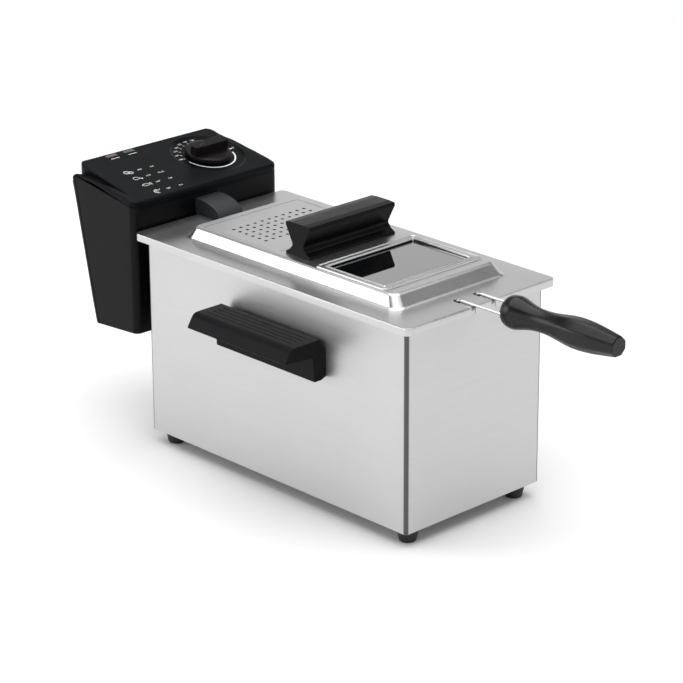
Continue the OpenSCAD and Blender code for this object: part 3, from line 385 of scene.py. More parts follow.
class Finish:
    """A material's node tree, with its principled shader and the piece's own coordinates."""

    def __init__(self, name, colour, roughness, metallic=0.0, **sockets):
        self.material = bpy.data.materials.new(name)
        self.material.use_nodes = True
        self.tree = self.material.node_tree
        self.shader = self.tree.nodes["Principled BSDF"]
        self.shader.inputs["Base Color"].default_value = (*colour, 1)
        self.shader.inputs["Roughness"].default_value = roughness
        self.shader.inputs["Metallic"].default_value = metallic
        for socket, value in sockets.items():
            self.shader.inputs[socket.replace("_", " ")].default_value = value
        self.colour = colour
        self.roughness = roughness
        self.painted = None
        self.bumps = []
        self.place = self.node("ShaderNodeTexCoord").outputs["Object"]

    def node(self, kind, **values):
        made = self.tree.nodes.new(kind)
        for key, value in values.items():
            setattr(made, key, value)
        return made

    def link(self, output, socket):
        self.tree.links.new(output, socket)

    def math(self, operation, *values):
        """A sum of sockets and numbers."""
        made = self.node("ShaderNodeMath", operation=operation)
        for socket, value in zip(made.inputs, values):
            if isinstance(value, bpy.types.NodeSocket):
                self.link(value, socket)
            else:
                socket.default_value = value
        return made.outputs[0]

    def noise(self, scale, stretch=(1, 1, 1), detail=3.0, rough=0.5):
        """Noise whose grain is about 1/scale metres, drawn out along the axes of small stretch."""
        mapping = self.node("ShaderNodeMapping")
        mapping.inputs["Scale"].default_value = stretch
        self.link(self.place, mapping.inputs["Vector"])
        made = self.node("ShaderNodeTexNoise")
        made.inputs["Scale"].default_value = scale
        made.inputs["Detail"].default_value = detail
        made.inputs["Roughness"].default_value = rough
        self.link(mapping.outputs["Vector"], made.inputs["Vector"])
        return made.outputs["Fac"]

    def spread(self, value, low, high, start=0.3, end=0.7):
        made = self.node("ShaderNodeMapRange")
        made.inputs["From Min"].default_value = start
        made.inputs["From Max"].default_value = end
        made.inputs["To Min"].default_value = low
        made.inputs["To Max"].default_value = high
        self.link(value, made.inputs["Value"])
        return made.outputs["Result"]

    def vary_colour(self, value, amount):
        """Lightens and darkens the colour by an amount."""
        mix = self.node("ShaderNodeMix", data_type="RGBA")
        self.link(self.spread(value, 0, 1), mix.inputs["Factor"])
        mix.inputs["A"].default_value = (*[min(c * (1 - amount), 1) for c in self.colour], 1)
        mix.inputs["B"].default_value = (*[min(c * (1 + amount), 1) for c in self.colour], 1)
        return self.paint(mix.outputs["Result"])

    def lay_over(self, colour, mask):
        """Covers the paint with one more colour where the mask is 1."""
        mix = self.node("ShaderNodeMix", data_type="RGBA")
        self.link(mask, mix.inputs["Factor"])
        self.link(self.painted, mix.inputs["A"])
        mix.inputs["B"].default_value = (*colour, 1)
        return self.paint(mix.outputs["Result"])

    def paint(self, output):
        self.painted = output
        self.link(output, self.shader.inputs["Base Color"])
        return self

    def vary_roughness(self, value, amount):
        low = max(self.roughness - amount, 0.02)
        self.link(self.spread(value, low, self.roughness + amount), self.shader.inputs["Roughness"])
        return self

    def bump(self, value, height, strength=1.0):
        """Adds a layer of relief; height is in metres."""
        made = self.node("ShaderNodeBump")
        made.inputs["Strength"].default_value = strength
        made.inputs["Distance"].default_value = height
        self.link(value, made.inputs["Height"])
        if self.bumps:
            self.link(self.bumps[-1].outputs["Normal"], made.inputs["Normal"])
        self.bumps.append(made)
        self.link(made.outputs["Normal"], self.shader.inputs["Normal"])
        return self


MATERIALS = {}


def brushed_sheet(name, colour, roughness, stretch, streak=0.05):
    return brushed_finish(name, colour, roughness, stretch, streak).material


def brushed_finish(name, colour, roughness, stretch, streak=0.05):
    """Sheet steel brushed one way: long fine scratches, cloudy patches and a satin gloss."""
    made = Finish(name, colour, roughness, metallic=1.0)
    scratches = made.noise(900, stretch, detail=4, rough=0.65)
    fine = made.noise(2600, stretch, detail=2)
    clouds = made.noise(16, detail=4, rough=0.6)
    cloud_share = 0.3
    both = made.math("MULTIPLY_ADD", scratches, 1 - cloud_share, made.math("MULTIPLY", clouds, cloud_share))
    made.vary_colour(both, streak)
    made.vary_roughness(both, 0.05)
    made.bump(scratches, 0.00001, 0.5).bump(fine, 0.000004, 0.4)
    return made


def sheet_with_painted_fold_reflection(name, colour, roughness, stretch):
    """Brushed sheet with a dark reflection painted down its upright corner folds, so they look darker than
    the flat sides.
    """
    made = brushed_finish(name, colour, roughness, stretch)
    half_width = (HOUSING_HIGH.x - HOUSING_LOW.x) / 2 * MM
    half_length = (HOUSING_HIGH.y - HOUSING_LOW.y) / 2 * MM
    middle = (HOUSING_HIGH.y + HOUSING_LOW.y) / 2 * MM
    split = made.node("ShaderNodeSeparateXYZ")
    made.link(made.place, split.inputs[0])
    along = made.math("ABSOLUTE", made.math("SUBTRACT", split.outputs["Y"], middle))
    from_side = made.math("SUBTRACT", half_width, made.math("ABSOLUTE", split.outputs["X"]))
    from_end = made.math("SUBTRACT", half_length, along)
    darkest, flat = 0.0026, 0.0036       # the two distances added: on the fold, and where it ends
    # painted dark reflection: a dark grey laid over the brushed steel down each upright corner fold
    mask = made.spread(made.math("ADD", from_side, from_end), 0.92, 0.0, darkest, flat)
    return made.lay_over((0.06, 0.06, 0.062), mask).material


def moulded_plastic(name, colour, roughness, grain=0.00004, **sockets):
    """Black moulding with a fine spark-eroded grain and faint handling marks."""
    made = Finish(name, colour, roughness, **sockets)
    spark = made.noise(1700, detail=2)
    marks = made.noise(60, detail=5, rough=0.65)
    made.vary_colour(marks, 0.12).vary_roughness(marks, 0.05)
    made.bump(spark, grain, 0.6)
    return made.material


def drawn_wire(name, colour, roughness):
    """Plated wire with a soft waviness."""
    made = Finish(name, colour, roughness, metallic=1.0)
    ripple = made.noise(220, detail=2)
    made.vary_colour(ripple, 0.05).vary_roughness(ripple, 0.04)
    made.bump(ripple, 0.00003, 0.4)
    return made.material


def tinted_glass(name):
    """Dark heat-resistant glass that mirrors what stands over it."""
    made = Finish(name, (0.0015, 0.0017, 0.002), 0.03, IOR=1.85, Coat_Weight=1.0, Coat_Roughness=0.02)
    haze = made.noise(25, detail=3)
    made.vary_colour(haze, 0.2).vary_roughness(haze, 0.012)
    return made.material


def lamp_lens(name, colour):
    made = Finish(name, colour, 0.16, Coat_Weight=0.6, Coat_Roughness=0.05)
    ribs = made.node("ShaderNodeTexWave", wave_type="BANDS", bands_direction="X")
    ribs.inputs["Scale"].default_value = 380
    made.link(made.place, ribs.inputs["Vector"])
    made.vary_colour(ribs.outputs["Fac"], 0.25)
    made.bump(ribs.outputs["Fac"], 0.00015, 0.7)
    return made.material


def printed_ink(name, colour):
    made = Finish(name, colour, 0.55)
    speckle = made.noise(900, detail=2)
    made.vary_colour(speckle, 0.06)
    return made.material


def filter_foam(name):
    """Open charcoal foam."""
    made = Finish(name, (0.03, 0.032, 0.035), 0.95, Sheen_Weight=0.3)
    cells = made.node("ShaderNodeTexVoronoi", feature="DISTANCE_TO_EDGE")
    cells.inputs["Scale"].default_value = 420
    made.link(made.place, cells.inputs["Vector"])
    made.vary_colour(cells.outputs["Distance"], 0.5)
    made.bump(cells.outputs["Distance"], 0.0012, 1.0)
    return made.material


def heater_sheath(name):
    """Heat-stained steel tube."""
    made = Finish(name, (0.16, 0.15, 0.145), 0.42, metallic=0.9)
    stain = made.noise(30, detail=5, rough=0.7)
    made.vary_colour(stain, 0.4).vary_roughness(stain, 0.1)
    made.bump(made.noise(1200, detail=2), 0.00004, 0.5)
    return made.material


def floor_paper(name, colour):
    made = Finish(name, colour, 0.75, Specular_IOR_Level=0.2)
    made.vary_colour(made.noise(3, detail=2), 0.01)
    return made.material


def make_materials():
    f = finishes()
    steel = tuple(f.steel)
    plastic = tuple(f.plastic)
    MATERIALS.update({
        "brushed_steel": brushed_sheet("brushed_steel", steel, f.steel_roughness, (0.012, 0.012, 1)),
        # the housing's steel carries a painted dark reflection down its upright corner folds
        "housing_steel_painted_reflection": sheet_with_painted_fold_reflection("housing_steel_painted_reflection", steel, f.steel_roughness, (0.012, 0.012, 1)),
        "lid_steel": brushed_sheet("brushed_steel_lid", steel, f.steel_roughness - 0.13, (1, 0.012, 0.2)),
        "pot_steel": brushed_sheet("pot_steel", (0.8, 0.8, 0.8), 0.24, (0.02, 0.02, 1), 0.03),
        "plated_steel": brushed_sheet("plated_steel", (0.66, 0.67, 0.68), 0.3, (0.3, 0.3, 1), 0.05),
        "bright_wire": drawn_wire("bright_wire", (0.6, 0.6, 0.61), 0.16),
        "screw_steel": drawn_wire("screw_steel", (0.6, 0.6, 0.61), 0.28),
        "black_plastic": moulded_plastic("black_plastic", plastic, f.plastic_roughness,
                                         Specular_IOR_Level=0.11),
        "panel_plastic": moulded_plastic("panel_plastic", (0.0014, 0.0018, 0.0026), 0.36, 0.00002,
                                         Specular_IOR_Level=0.08),
        "grip_plastic": moulded_plastic("grip_plastic", plastic, 0.3, 0.00002, Specular_IOR_Level=0.34),
        "lid_plastic": moulded_plastic("lid_plastic", plastic, 0.3, 0.00002, Specular_IOR_Level=0.1),
        "side_plastic": moulded_plastic("side_plastic", (0.006, 0.0062, 0.007), 0.45, 0.00002,
                                        Specular_IOR_Level=0.07),
        "bridge_plastic": moulded_plastic("bridge_plastic", (0.016, 0.018, 0.021), 0.45,
                                          Specular_IOR_Level=0.35),
        "knob_plastic": moulded_plastic("knob_plastic", tuple(f.knob), 0.34, 0.00002,
                                        Specular_IOR_Level=0.14),
        "base_plastic": moulded_plastic("base_plastic", (0.02, 0.02, 0.021), 0.55),
        "rubber": moulded_plastic("rubber", (0.006, 0.006, 0.0065), 0.6, 0.00008),
        "inner_plastic": moulded_plastic("inner_plastic", (0.55, 0.42, 0.27), 0.5),
        "white_plastic": moulded_plastic("white_plastic", (0.75, 0.75, 0.72), 0.45),
        "reset_plastic": moulded_plastic("reset_plastic", (0.5, 0.03, 0.02), 0.35),
        "window_glass": tinted_glass("window_glass"),
        "heater_sheath": heater_sheath("heater_sheath"),
        "copper": drawn_wire("copper", (0.72, 0.38, 0.24), 0.3),
        "lens_red": lamp_lens("lens_red", (0.10, 0.035, 0.035)),
        "lens_green": lamp_lens("lens_green", (0.012, 0.055, 0.035)),
        "print": printed_ink("panel_print", tuple(f.print_white)),
        "knob_ink": printed_ink("knob_ink", (0.02, 0.02, 0.021)),
        "filter_foam": filter_foam("filter_foam"),
        "floor": floor_paper("floor_paper", tuple(f.floor)),
    })


def dress_frame_nodes():
    """Gives every frame node the finish that its slot names."""
    slots = {row["node"]: row["material_slot"] for row in frame["record"]["subparts"]}
    for name, made in frame["nodes"].items():
        finish = MATERIALS[slots[name]]
        if not made.data.materials:
            made.data.materials.append(finish)
        for i in range(len(made.data.materials)):
            made.data.materials[i] = finish


# ---------- operators ----------

class FRYER_OT_stage(Operator):
    """Floor, lights and camera"""

    bl_idname = "fryer.stage"
    bl_label = "Stage"

    def execute(self, context):
        scene = context.scene
        scene.view_settings.view_transform = "Standard"
        self.add_camera(scene)
        self.add_floor(scene)
        self.add_lights(scene)
        return {"FINISHED"}

    def add_camera(self, scene):
        azimuth, elevation, roll = (math.radians(a) for a in (-43.65, 20.94, -0.26))
        distance = 2.4544
        aim_right, aim_up = 0.0003, 0.0983
        home = Vector((0, (HOUSING_LOW.y + HOUSING_HIGH.y) / 2, HOUSING_LOW.z)) * MM
        back = Vector((
            math.sin(azimuth) * math.cos(elevation), -math.cos(azimuth) * math.cos(elevation),
            math.sin(elevation)))
        level_right = Vector((math.cos(azimuth), math.sin(azimuth), 0))
        level_up = back.cross(level_right)
        right = level_right * math.cos(roll) + level_up * math.sin(roll)
        up = back.cross(right)
        data = bpy.data.cameras.new("camera")
        data.sensor_width = 36
        data.lens = 148.19
        data.clip_end = 20
        camera = bpy.data.objects.new("camera", data)
        scene.collection.objects.link(camera)
        turn = Matrix((right, up, back)).transposed().to_4x4()
        camera.matrix_world = Matrix.Translation(
            home + right * aim_right + up * aim_up + back * distance) @ turn
        scene.camera = camera

    def add_floor(self, scene):
        size = 6
        corners = [(-size, -size, 0), (size, -size, 0), (size, size, 0), (-size, size, 0)]
        data = bpy.data.meshes.new("floor")
        data.from_pydata(corners, [], [(0, 1, 2, 3)])
        data.materials.append(MATERIALS["floor"])
        floor = bpy.data.objects.new("floor", data)
        scene.collection.objects.link(floor)

    def add_lights(self, scene):
        self.add_sky(scene)
        self.softbox(scene, "overhead", (0, 0.2, 3.0), 4.5, 150, (0, 0.2, 0))
        self.softbox(scene, "left", (-1.6, 1.5, 0.95), 1.1, 11, (0, 0, 0.1))
        self.softbox(scene, "side", (-2.4, -0.4, 0.5), 1.0, 5.5, (0, 0, 0.1))
        self.softbox(scene, "front", (0.9, -2.0, 1.1), 1.2, 4, (0, 0, 0.1))

    def add_sky(self, scene):
        """Pale all round near the floor and dim overhead, as in a studio with a lit backdrop."""
        pale, dim = 1.0, 0.02
        world = bpy.data.worlds.new("studio")
        world.use_nodes = True
        tree = world.node_tree
        way = tree.nodes.new("ShaderNodeTexCoord").outputs["Object"]
        split = tree.nodes.new("ShaderNodeSeparateXYZ")
        fade = tree.nodes.new("ShaderNodeMapRange")
        fade.interpolation_type = "SMOOTHSTEP"
        fade.inputs["From Min"].default_value = math.sin(math.radians(22))
        fade.inputs["From Max"].default_value = math.sin(math.radians(31))
        fade.inputs["To Min"].default_value = pale
        fade.inputs["To Max"].default_value = dim
        tree.links.new(way, split.inputs[0])
        tree.links.new(split.outputs["Z"], fade.inputs["Value"])
        sky = tree.nodes["Background"]
        sky.inputs["Color"].default_value = (1, 1, 1, 1)
        tree.links.new(fade.outputs["Result"], sky.inputs["Strength"])
        scene.world = world

    def softbox(self, scene, name, place, size, power, aim):
        data = bpy.data.lights.new(name, "AREA")
        data.shape = "SQUARE"
        data.size = size
        data.energy = power
        light = bpy.data.objects.new(name, data)
        light.location = place
        light.rotation_mode = "QUATERNION"
        light.rotation_quaternion = (Vector(aim) - Vector(place)).to_track_quat("-Z", "Y")
        scene.collection.objects.link(light)


class FRYER_OT_housing(Operator):
    """Folded steel housing"""

    bl_idname = "fryer.housing"
    bl_label = "Housing"

    def execute(self, context):
        low, high = HOUSING_LOW, HOUSING_HIGH
        bend, sheet, flange = sizes().sheet_bend / MM, sizes().sheet / MM, 4.0
        corner = 3.6
        top, foot = high.z, low.z
        lap = bend * 0.3
        section = [
            (flange, top), (bend, top), (lap, top - lap), (0, top - bend),
            (0, foot + bend), (lap, foot + lap), (bend, foot), (flange, foot),
            (flange, foot + sheet), (sheet, foot + sheet), (sheet, top - sheet), (flange, top - sheet)]
        rings = []
        for inset, z in section:
            outline = rounded_outline(
                low.x + inset, high.x - inset, low.y + inset, high.y - inset, max(corner - inset, 0.6))
            rings.append(level(outline, z))
        piece(skin(rings, loop=True), "steel_housing", "housing", MATERIALS["housing_steel_painted_reflection"],
              "housing_shell", slot="brushed_steel")
        refined("base_plate", "moulded_base", "housing", MATERIALS["base_plastic"], slot="base_plastic")
        return {"FINISHED"}


class FRYER_OT_feet(Operator):
    """Tapered rubber feet"""

    bl_idname = "fryer.feet"
    bl_label = "Feet"

    def execute(self, context):
        low, high = box_mm("feet")
        top_radius, sole_radius, edge = 10.0, 7.4, 1.6
        well = 4.2
        profile = [
            (0, 6.5), (well, 6.5), (well, 0.3), (well + 0.3, 0), (sole_radius - edge, 0),
            (sole_radius - edge * 0.4, edge * 0.25), (sole_radius, edge), (top_radius - 0.3, high.z - 0.6),
            (top_radius - 0.7, high.z), (0, high.z)]
        for side, x in (("left", low.x + top_radius), ("right", high.x - top_radius)):
            for end, y in (("front", low.y + top_radius), ("rear", high.y - top_radius)):
                foot = moved(lathe(profile, 48), Matrix.Translation((x, y, 0)))
                made = loose_object(foot, f"foot_{end}_{side}")
                finish_piece(made, "housing", MATERIALS["rubber"], slot="rubber")
        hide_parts("feet")
        return {"FINISHED"}


class FRYER_OT_side_grips(Operator):
    """Hooked side grips with shallow grooves along their tops"""

    bl_idname = "fryer.side_grips"
    bl_label = "Side grips"

    def execute(self, context):
        for side, name in ((-1, "side_handle_left"), (1, "side_handle_right")):
            self.make_grip(side, name)
        return {"FINISHED"}

    def make_grip(self, side, node):
        low, high = box_mm(node)
        out = high.x - low.x
        drop = high.z - low.z
        wall = HOUSING_HIGH.x * side
        nose, lip, stem = 7.5, 12.4, 13.0
        outline = rounded_polygon(
            [(0, -12.2), (6.1, 0), (out - nose, 0), (out, -lip), (stem + 1.5, -lip - 1.8), (stem, -drop),
             (5.3, -drop), (0, -drop + 2)],
            [1, 2.5, 8, 0.9, 2, 0.8, 0.8, 0.8])
        body = prism(outline, lambda p, end: (
            wall + side * p.x, high.y if end else low.y, high.z + p.y))
        made = bevel(loose_object(body, f"{node}_grip"), 0.8, 3, 40)
        groove_from, groove_step, groove_radius, groove_end = 13.0, 5.4, 0.75, 9.0
        for i in range(4):
            x = wall + side * (groove_from + i * groove_step)
            z = high.z + groove_radius * 0.3
            groove = tube([(x, low.y + groove_end, z), (x, high.y - groove_end, z)], groove_radius, 12)
            cut(made, groove)
        finish_piece(made, "housing", MATERIALS["side_plastic"], node, slot="black_plastic")


class FRYER_OT_lid(Operator):
    """Pressed steel lid with its raised middle and openings"""

    bl_idname = "fryer.lid"
    bl_label = "Lid"

    def execute(self, context):
        low, high = LID_LOW, LID_HIGH
        sheet, bend = sizes().sheet / MM, sizes().sheet_bend / MM
        brim = 197.4
        corner = 6.5
        # the raised middle's foot and how it climbs; its front slopes more gently than its other sides
        foot = (-65.0, 65.0, low.y + 34.5, high.y - 41)
        slope, front_slope = 5.5, 9.0
        rise = LID_TOP - brim
        climb = filleted([(-9, 0), (0, 0), (slope, rise), (13, rise)], sizes().press_radius / MM, steps=6)
        rings = []
        for inset, z in ((0, low.z), (0, brim - bend), (bend * 0.3, brim - bend * 0.3), (bend, brim)):
            rings.append(level(rounded_outline(
                low.x + inset, high.x - inset, low.y + inset, high.y - inset, corner - inset, steps=10), z))
        for inset, up in climb:
            climbed = min(max(inset / slope, 0), 1)
            radius = 9.5 - 2.5 * climbed - 0.75 * max(inset - slope, 0)
            front = foot[2] + inset + (front_slope - slope) * climbed
            rings.append(level(rounded_outline(
                foot[0] + inset, foot[1] - inset, front, foot[3] - inset, radius, steps=10), brim + up))
        sheet_mesh = skin(rings)
        bottom = [f for f in sheet_mesh.faces if all(abs(v.co.z - low.z) < 1e-4 for v in f.verts)]
        bmesh.ops.delete(sheet_mesh, geom=bottom, context="FACES_ONLY")
        made = loose_object(sheet_mesh, "pressed_lid")
        thick = made.modifiers.new("thickness", "SOLIDIFY")
        thick.thickness = sheet
        thick.offset = -1
        work_in(made)
        for cutter in self.openings(low, high, brim):
            cut(made, cutter)
        finish_piece(made, "lid", MATERIALS["lid_steel"], "lid_shell", slot="brushed_steel", angle=28)
        return {"FINISHED"}

    def openings(self, low, high, brim):
        through = 3
        wire_x = WIRES_HIGH.x - WIRE_RADIUS
        slot_half = 2.7
        slot_end = WIRES_HIGH.y + 1
        for side in (-1, 1):
            x = side * wire_x
            outline = rounded_outline(x - slot_half, x + slot_half, low.y - 20, slot_end, 1, slot_half)
            yield skin([level(outline, brim - through), level(outline, brim + through)])
            notch = rounded_outline(x - slot_half, x + slot_half, low.y - 5, low.y + 4, 0.3)
            yield skin([level(notch, low.z - 1), level(notch, brim + 1)])
        window = rounded_outline(BEZEL_LOW.x + 4, BEZEL_HIGH.x - 4, BEZEL_LOW.y + 4, BEZEL_HIGH.y - 4, 2)
        yield skin([level(window, LID_TOP - 4), level(window, LID_TOP + 2)])
        gap = 0.35
        vent = rounded_outline(VENT_LOW.x - gap, VENT_HIGH.x + gap, VENT_LOW.y - gap, VENT_HIGH.y + gap, 2)
        yield skin([level(vent, LID_TOP - 4), level(vent, LID_TOP + 2)])
        bridge_clear = 1.0
        rear = rounded_outline(
            BRIDGE_LOW.x - bridge_clear, BRIDGE_HIGH.x + bridge_clear, BRIDGE_LOW.y - 1.5, high.y + 10, 3, 1)
        yield skin([level(rear, low.z - 2), level(rear, brim + through)])


class FRYER_OT_window(Operator):
    """Lid window: beaded steel frame and dark glass"""

    bl_idname = "fryer.window"
    bl_label = "Lid window"

    def execute(self, context):
        low, high = BEZEL_LOW, BEZEL_HIGH
        base = LID_TOP
        # across the band, from the outside in: how far in, how far up
        section = [
            (0, -0.2), (0.15, 0.7), (0.5, 1.2), (1.0, 1.4), (1.5, 1.2), (1.9, 0.75), (2.4, 0.6),
            (5.2, 0.6), (5.6, 0.8), (6.0, 1.2), (6.5, 1.4), (7.0, 1.2), (7.35, 0.7), (7.5, 0),
            (7.5, -1.1), (6.4, -1.1), (6.2, -0.3), (4.8, -0.3)]
        rings = []
        for inset, rise in section:
            rings.append(level(rounded_outline(
                low.x + inset, high.x - inset, low.y + inset, high.y - inset, max(3 - inset * 0.3, 1)),
                base + rise))
        piece(skin(rings, loop=True), "window_frame", "lid", MATERIALS["lid_steel"], "window_bezel",
              slot="brushed_steel", angle=50)
        edge = 0.4
        pane = plate(lambda inset: rounded_outline(
            GLASS_LOW.x + inset, GLASS_HIGH.x - inset, GLASS_LOW.y + inset, GLASS_HIGH.y - inset, 1.2),
            GLASS_LOW.z, GLASS_HIGH.z, edge)
        piece(pane, "window_pane", "lid", MATERIALS["window_glass"], "window_glass", slot="window_glass")
        return {"FINISHED"}


class FRYER_OT_lid_handle(Operator):
    """Waisted handle across the lid"""

    bl_idname = "fryer.lid_handle"
    bl_label = "Lid handle"

    def execute(self, context):
        low, high = HANDLE_LOW, HANDLE_HIGH
        half = (high.y - low.y) / 2
        middle = (high.y + low.y) / 2
        tall = high.z - low.z
        waist, waist_z = 6.0, 8.8
        half_section = [
            (half, 0), (half, 1.8), (9.6, 4.6), (9.2, 5.5), (waist, waist_z), (half, tall - 3.4),
            (half - 0.2, tall - 0.9), (half * 0.5, tall - 0.25)]
        half_radii = [0.4, 0.8, 0.3, 0.3, 3.0, 0.8, 1.2, 20]
        outline = rounded_polygon(
            half_section + [(-y, z) for y, z in reversed(half_section)],
            half_radii + half_radii[::-1])
        body = prism(outline, lambda p, end: (high.x if end else low.x, middle + p.x, low.z + p.y))
        made = bevel(loose_object(body, "lid_grip"), 1.1, 3, 50)
        finish_piece(made, "lid", MATERIALS["lid_plastic"], "lid_handle", slot="black_plastic")
        return {"FINISHED"}


# ---------- geometry nodes for what repeats ----------

class NodeTree:
    """A geometry node tree with named inputs."""

    def __init__(self, name, inputs):
        self.tree = bpy.data.node_groups.new(name, "GeometryNodeTree")
        self.tree.interface.new_socket("Geometry", in_out="INPUT", socket_type="NodeSocketGeometry")
        self.identifiers = {}
        for label, kind in inputs:
            socket = self.tree.interface.new_socket(label, in_out="INPUT", socket_type=kind)
            self.identifiers[label] = socket.identifier
        self.tree.interface.new_socket("Geometry", in_out="OUTPUT", socket_type="NodeSocketGeometry")
        self.source = self.tree.nodes.new("NodeGroupInput")
        self.sink = self.tree.nodes.new("NodeGroupOutput")

    def add(self, kind, links=(), **values):
        made = self.tree.nodes.new(kind)
        for key, value in values.items():
            setattr(made, key, value)
        for socket, value in dict(links).items():
            self.feed(made, socket, value)
        return made

    def feed(self, node, socket, value):
        target = node.inputs[socket]
        if isinstance(value, bpy.types.NodeSocket):
            self.tree.links.new(value, target)
        else:
            target.default_value = value

    def math(self, operation, a, b):
        return self.add("ShaderNodeMath", {0: a, 1: b}, operation=operation).outputs[0]

    def value(self, label):
        return self.source.outputs[label]

    def attribute(self, label, kind):
        named = self.add("GeometryNodeInputNamedAttribute", {"Name": label}, data_type=kind)
        return named.outputs["Attribute"]

    def finish(self, geometry):
        real = self.add("GeometryNodeRealizeInstances", {"Geometry": geometry})
        paint = self.add("GeometryNodeSetMaterial", {
            "Geometry": real.outputs[0], "Material": self.value("Material")})
        self.tree.links.new(paint.outputs[0], self.sink.inputs[0])

    def apply(self, made, values):
        """Runs the tree on an object and leaves a plain mesh."""
        change = made.modifiers.new("nodes", "NODES")
        change.node_group = self.tree
        for label, value in values.items():
            change[self.identifiers[label]] = value
        return work_in(made)


def perforation_tree():
    """Cuts a square grid of round holes, centred on a point, through a sheet that lies flat."""
    tree = NodeTree("perforation", [
        ("Hole diameter", "NodeSocketFloat"), ("Pitch", "NodeSocketFloat"), ("Rows", "NodeSocketInt"),
        ("Columns", "NodeSocketInt"), ("Centre", "NodeSocketVector"), ("Material", "NodeSocketMaterial")])
    wide = tree.math("MULTIPLY", tree.math("SUBTRACT", tree.value("Columns"), 1.0), tree.value("Pitch"))
    long = tree.math("MULTIPLY", tree.math("SUBTRACT", tree.value("Rows"), 1.0), tree.value("Pitch"))
    grid = tree.add("GeometryNodeMeshGrid", {
        "Size X": wide, "Size Y": long,
        "Vertices X": tree.value("Columns"), "Vertices Y": tree.value("Rows")})
    placed = tree.add("GeometryNodeTransform", {
        "Geometry": grid.outputs["Mesh"], "Translation": tree.value("Centre")})
    punch = tree.add("GeometryNodeMeshCylinder", {
        "Vertices": 20, "Radius": tree.math("MULTIPLY", tree.value("Hole diameter"), 0.5), "Depth": 6.0})
    punches = tree.add("GeometryNodeInstanceOnPoints", {
        "Points": placed.outputs[0], "Instance": punch.outputs["Mesh"]})
    solid_punches = tree.add("GeometryNodeRealizeInstances", {"Geometry": punches.outputs[0]})
    holes = tree.add("GeometryNodeMeshBoolean", operation="DIFFERENCE", solver="EXACT")
    tree.tree.links.new(tree.source.outputs["Geometry"], holes.inputs["Mesh 1"])
    tree.tree.links.new(solid_punches.outputs[0], holes.inputs["Mesh 2"])
    tree.finish(holes.outputs["Mesh"])
    return tree


def woven_wire_tree():
    """Turns a quad cage into woven wire: either set of edges becomes wires that weave through the other's."""
    tree = NodeTree("woven_wire", [
        ("Wire radius", "NodeSocketFloat"), ("Sides", "NodeSocketInt"), ("Material", "NodeSocketMaterial")])
    over = tree.attribute("over", "FLOAT")
    warp = tree.attribute("warp", "BOOLEAN")
    outward = tree.add("GeometryNodeInputNormal").outputs["Normal"]
    profile = tree.add("GeometryNodeCurvePrimitiveCircle", {
        "Resolution": tree.value("Sides"), "Radius": tree.value("Wire radius")})
    sets = []
    for sign, is_warp in ((1.0, True), (-1.0, False)):
        lift = tree.math("MULTIPLY", tree.math("MULTIPLY", over, tree.value("Wire radius")), sign)
        shift = tree.add("ShaderNodeVectorMath", {0: outward, "Scale": lift}, operation="SCALE")
        bent = tree.add("GeometryNodeSetPosition", {
            "Geometry": tree.source.outputs["Geometry"], "Offset": shift.outputs[0]})
        others = warp
        if is_warp:
            others = tree.add("FunctionNodeBooleanMath", {0: warp}, operation="NOT").outputs[0]
        kept = tree.add("GeometryNodeDeleteGeometry", {
            "Geometry": bent.outputs[0], "Selection": others}, domain="EDGE", mode="EDGE_FACE")
        wires = tree.add("GeometryNodeMeshToCurve", {"Mesh": kept.outputs[0]})
        solid = tree.add("GeometryNodeCurveToMesh", {
            "Curve": wires.outputs[0], "Profile Curve": profile.outputs["Curve"], "Fill Caps": True})
        sets.append(solid.outputs[0])
    both = tree.add("GeometryNodeJoinGeometry")
    for made in sets:
        tree.tree.links.new(made, both.inputs[0])
    tree.finish(both.outputs[0])
    return tree


class FRYER_OT_filter_cover(Operator):
    """Perforated filter cover, flush with the lid"""

    bl_idname = "fryer.filter_cover"
    bl_label = "Filter cover"

    def execute(self, context):
        low, high = VENT_LOW, VENT_HIGH
        sheet = plate(lambda inset: rounded_outline(
            low.x + inset, high.x - inset, low.y + inset, high.y - inset, 1.8), low.z, high.z, 0.35)
        made = loose_object(sheet, "perforated_cover")
        grid_shift = 3.0
        s = sizes()
        perforation_tree().apply(made, {
            "Hole diameter": s.hole_diameter / MM, "Pitch": s.hole_pitch / MM, "Rows": s.hole_rows,
            "Columns": s.hole_columns,
            "Centre": (0.0, (low.y + high.y) / 2 + grid_shift, (low.z + high.z) / 2),
            "Material": MATERIALS["lid_steel"]})
        finish_piece(made, "filter", MATERIALS["lid_steel"], "filter_cover", slot="brushed_steel", angle=28)
        return {"FINISHED"}


# ---------- control unit ----------

PANEL_FRONT = Vector((0, COVER_LOW.y, COVER_HIGH.z - 18))
PANEL_DEPTH = COVER_HIGH.y - COVER_LOW.y
PANEL_RISE = 18.0
PANEL_SLOPE = math.atan(PANEL_RISE / PANEL_DEPTH)
# the seam between shell and top cover: shares of the depth, and heights over the panel's front edge
SEAM = (
    (0.0, -4.3), (0.14, -2.6), (0.24, -0.8), (0.37, 2.7), (0.5, 5.5), (0.63, 7.7),
    (0.77, 8.9), (0.9, 9.0), (0.93, 8.3), (0.96, 6.6), (0.985, 3.6), (1.0, 0.4))
REAR_DEPTH = 59.0                # the unit's depth at its foot
REAR_LEAN = math.atan((PANEL_DEPTH - REAR_DEPTH) / (SHELL_HIGH.z - SHELL_LOW.z))
DIAL_X, DIAL_S = 41.0, 46.0      # the dial's centre, across and up the panel
RECESS = 1.8                     # how deep its recess is
PANEL_TURN = Matrix.Translation(PANEL_FRONT) @ Matrix.Rotation(PANEL_SLOPE, 4, "X")


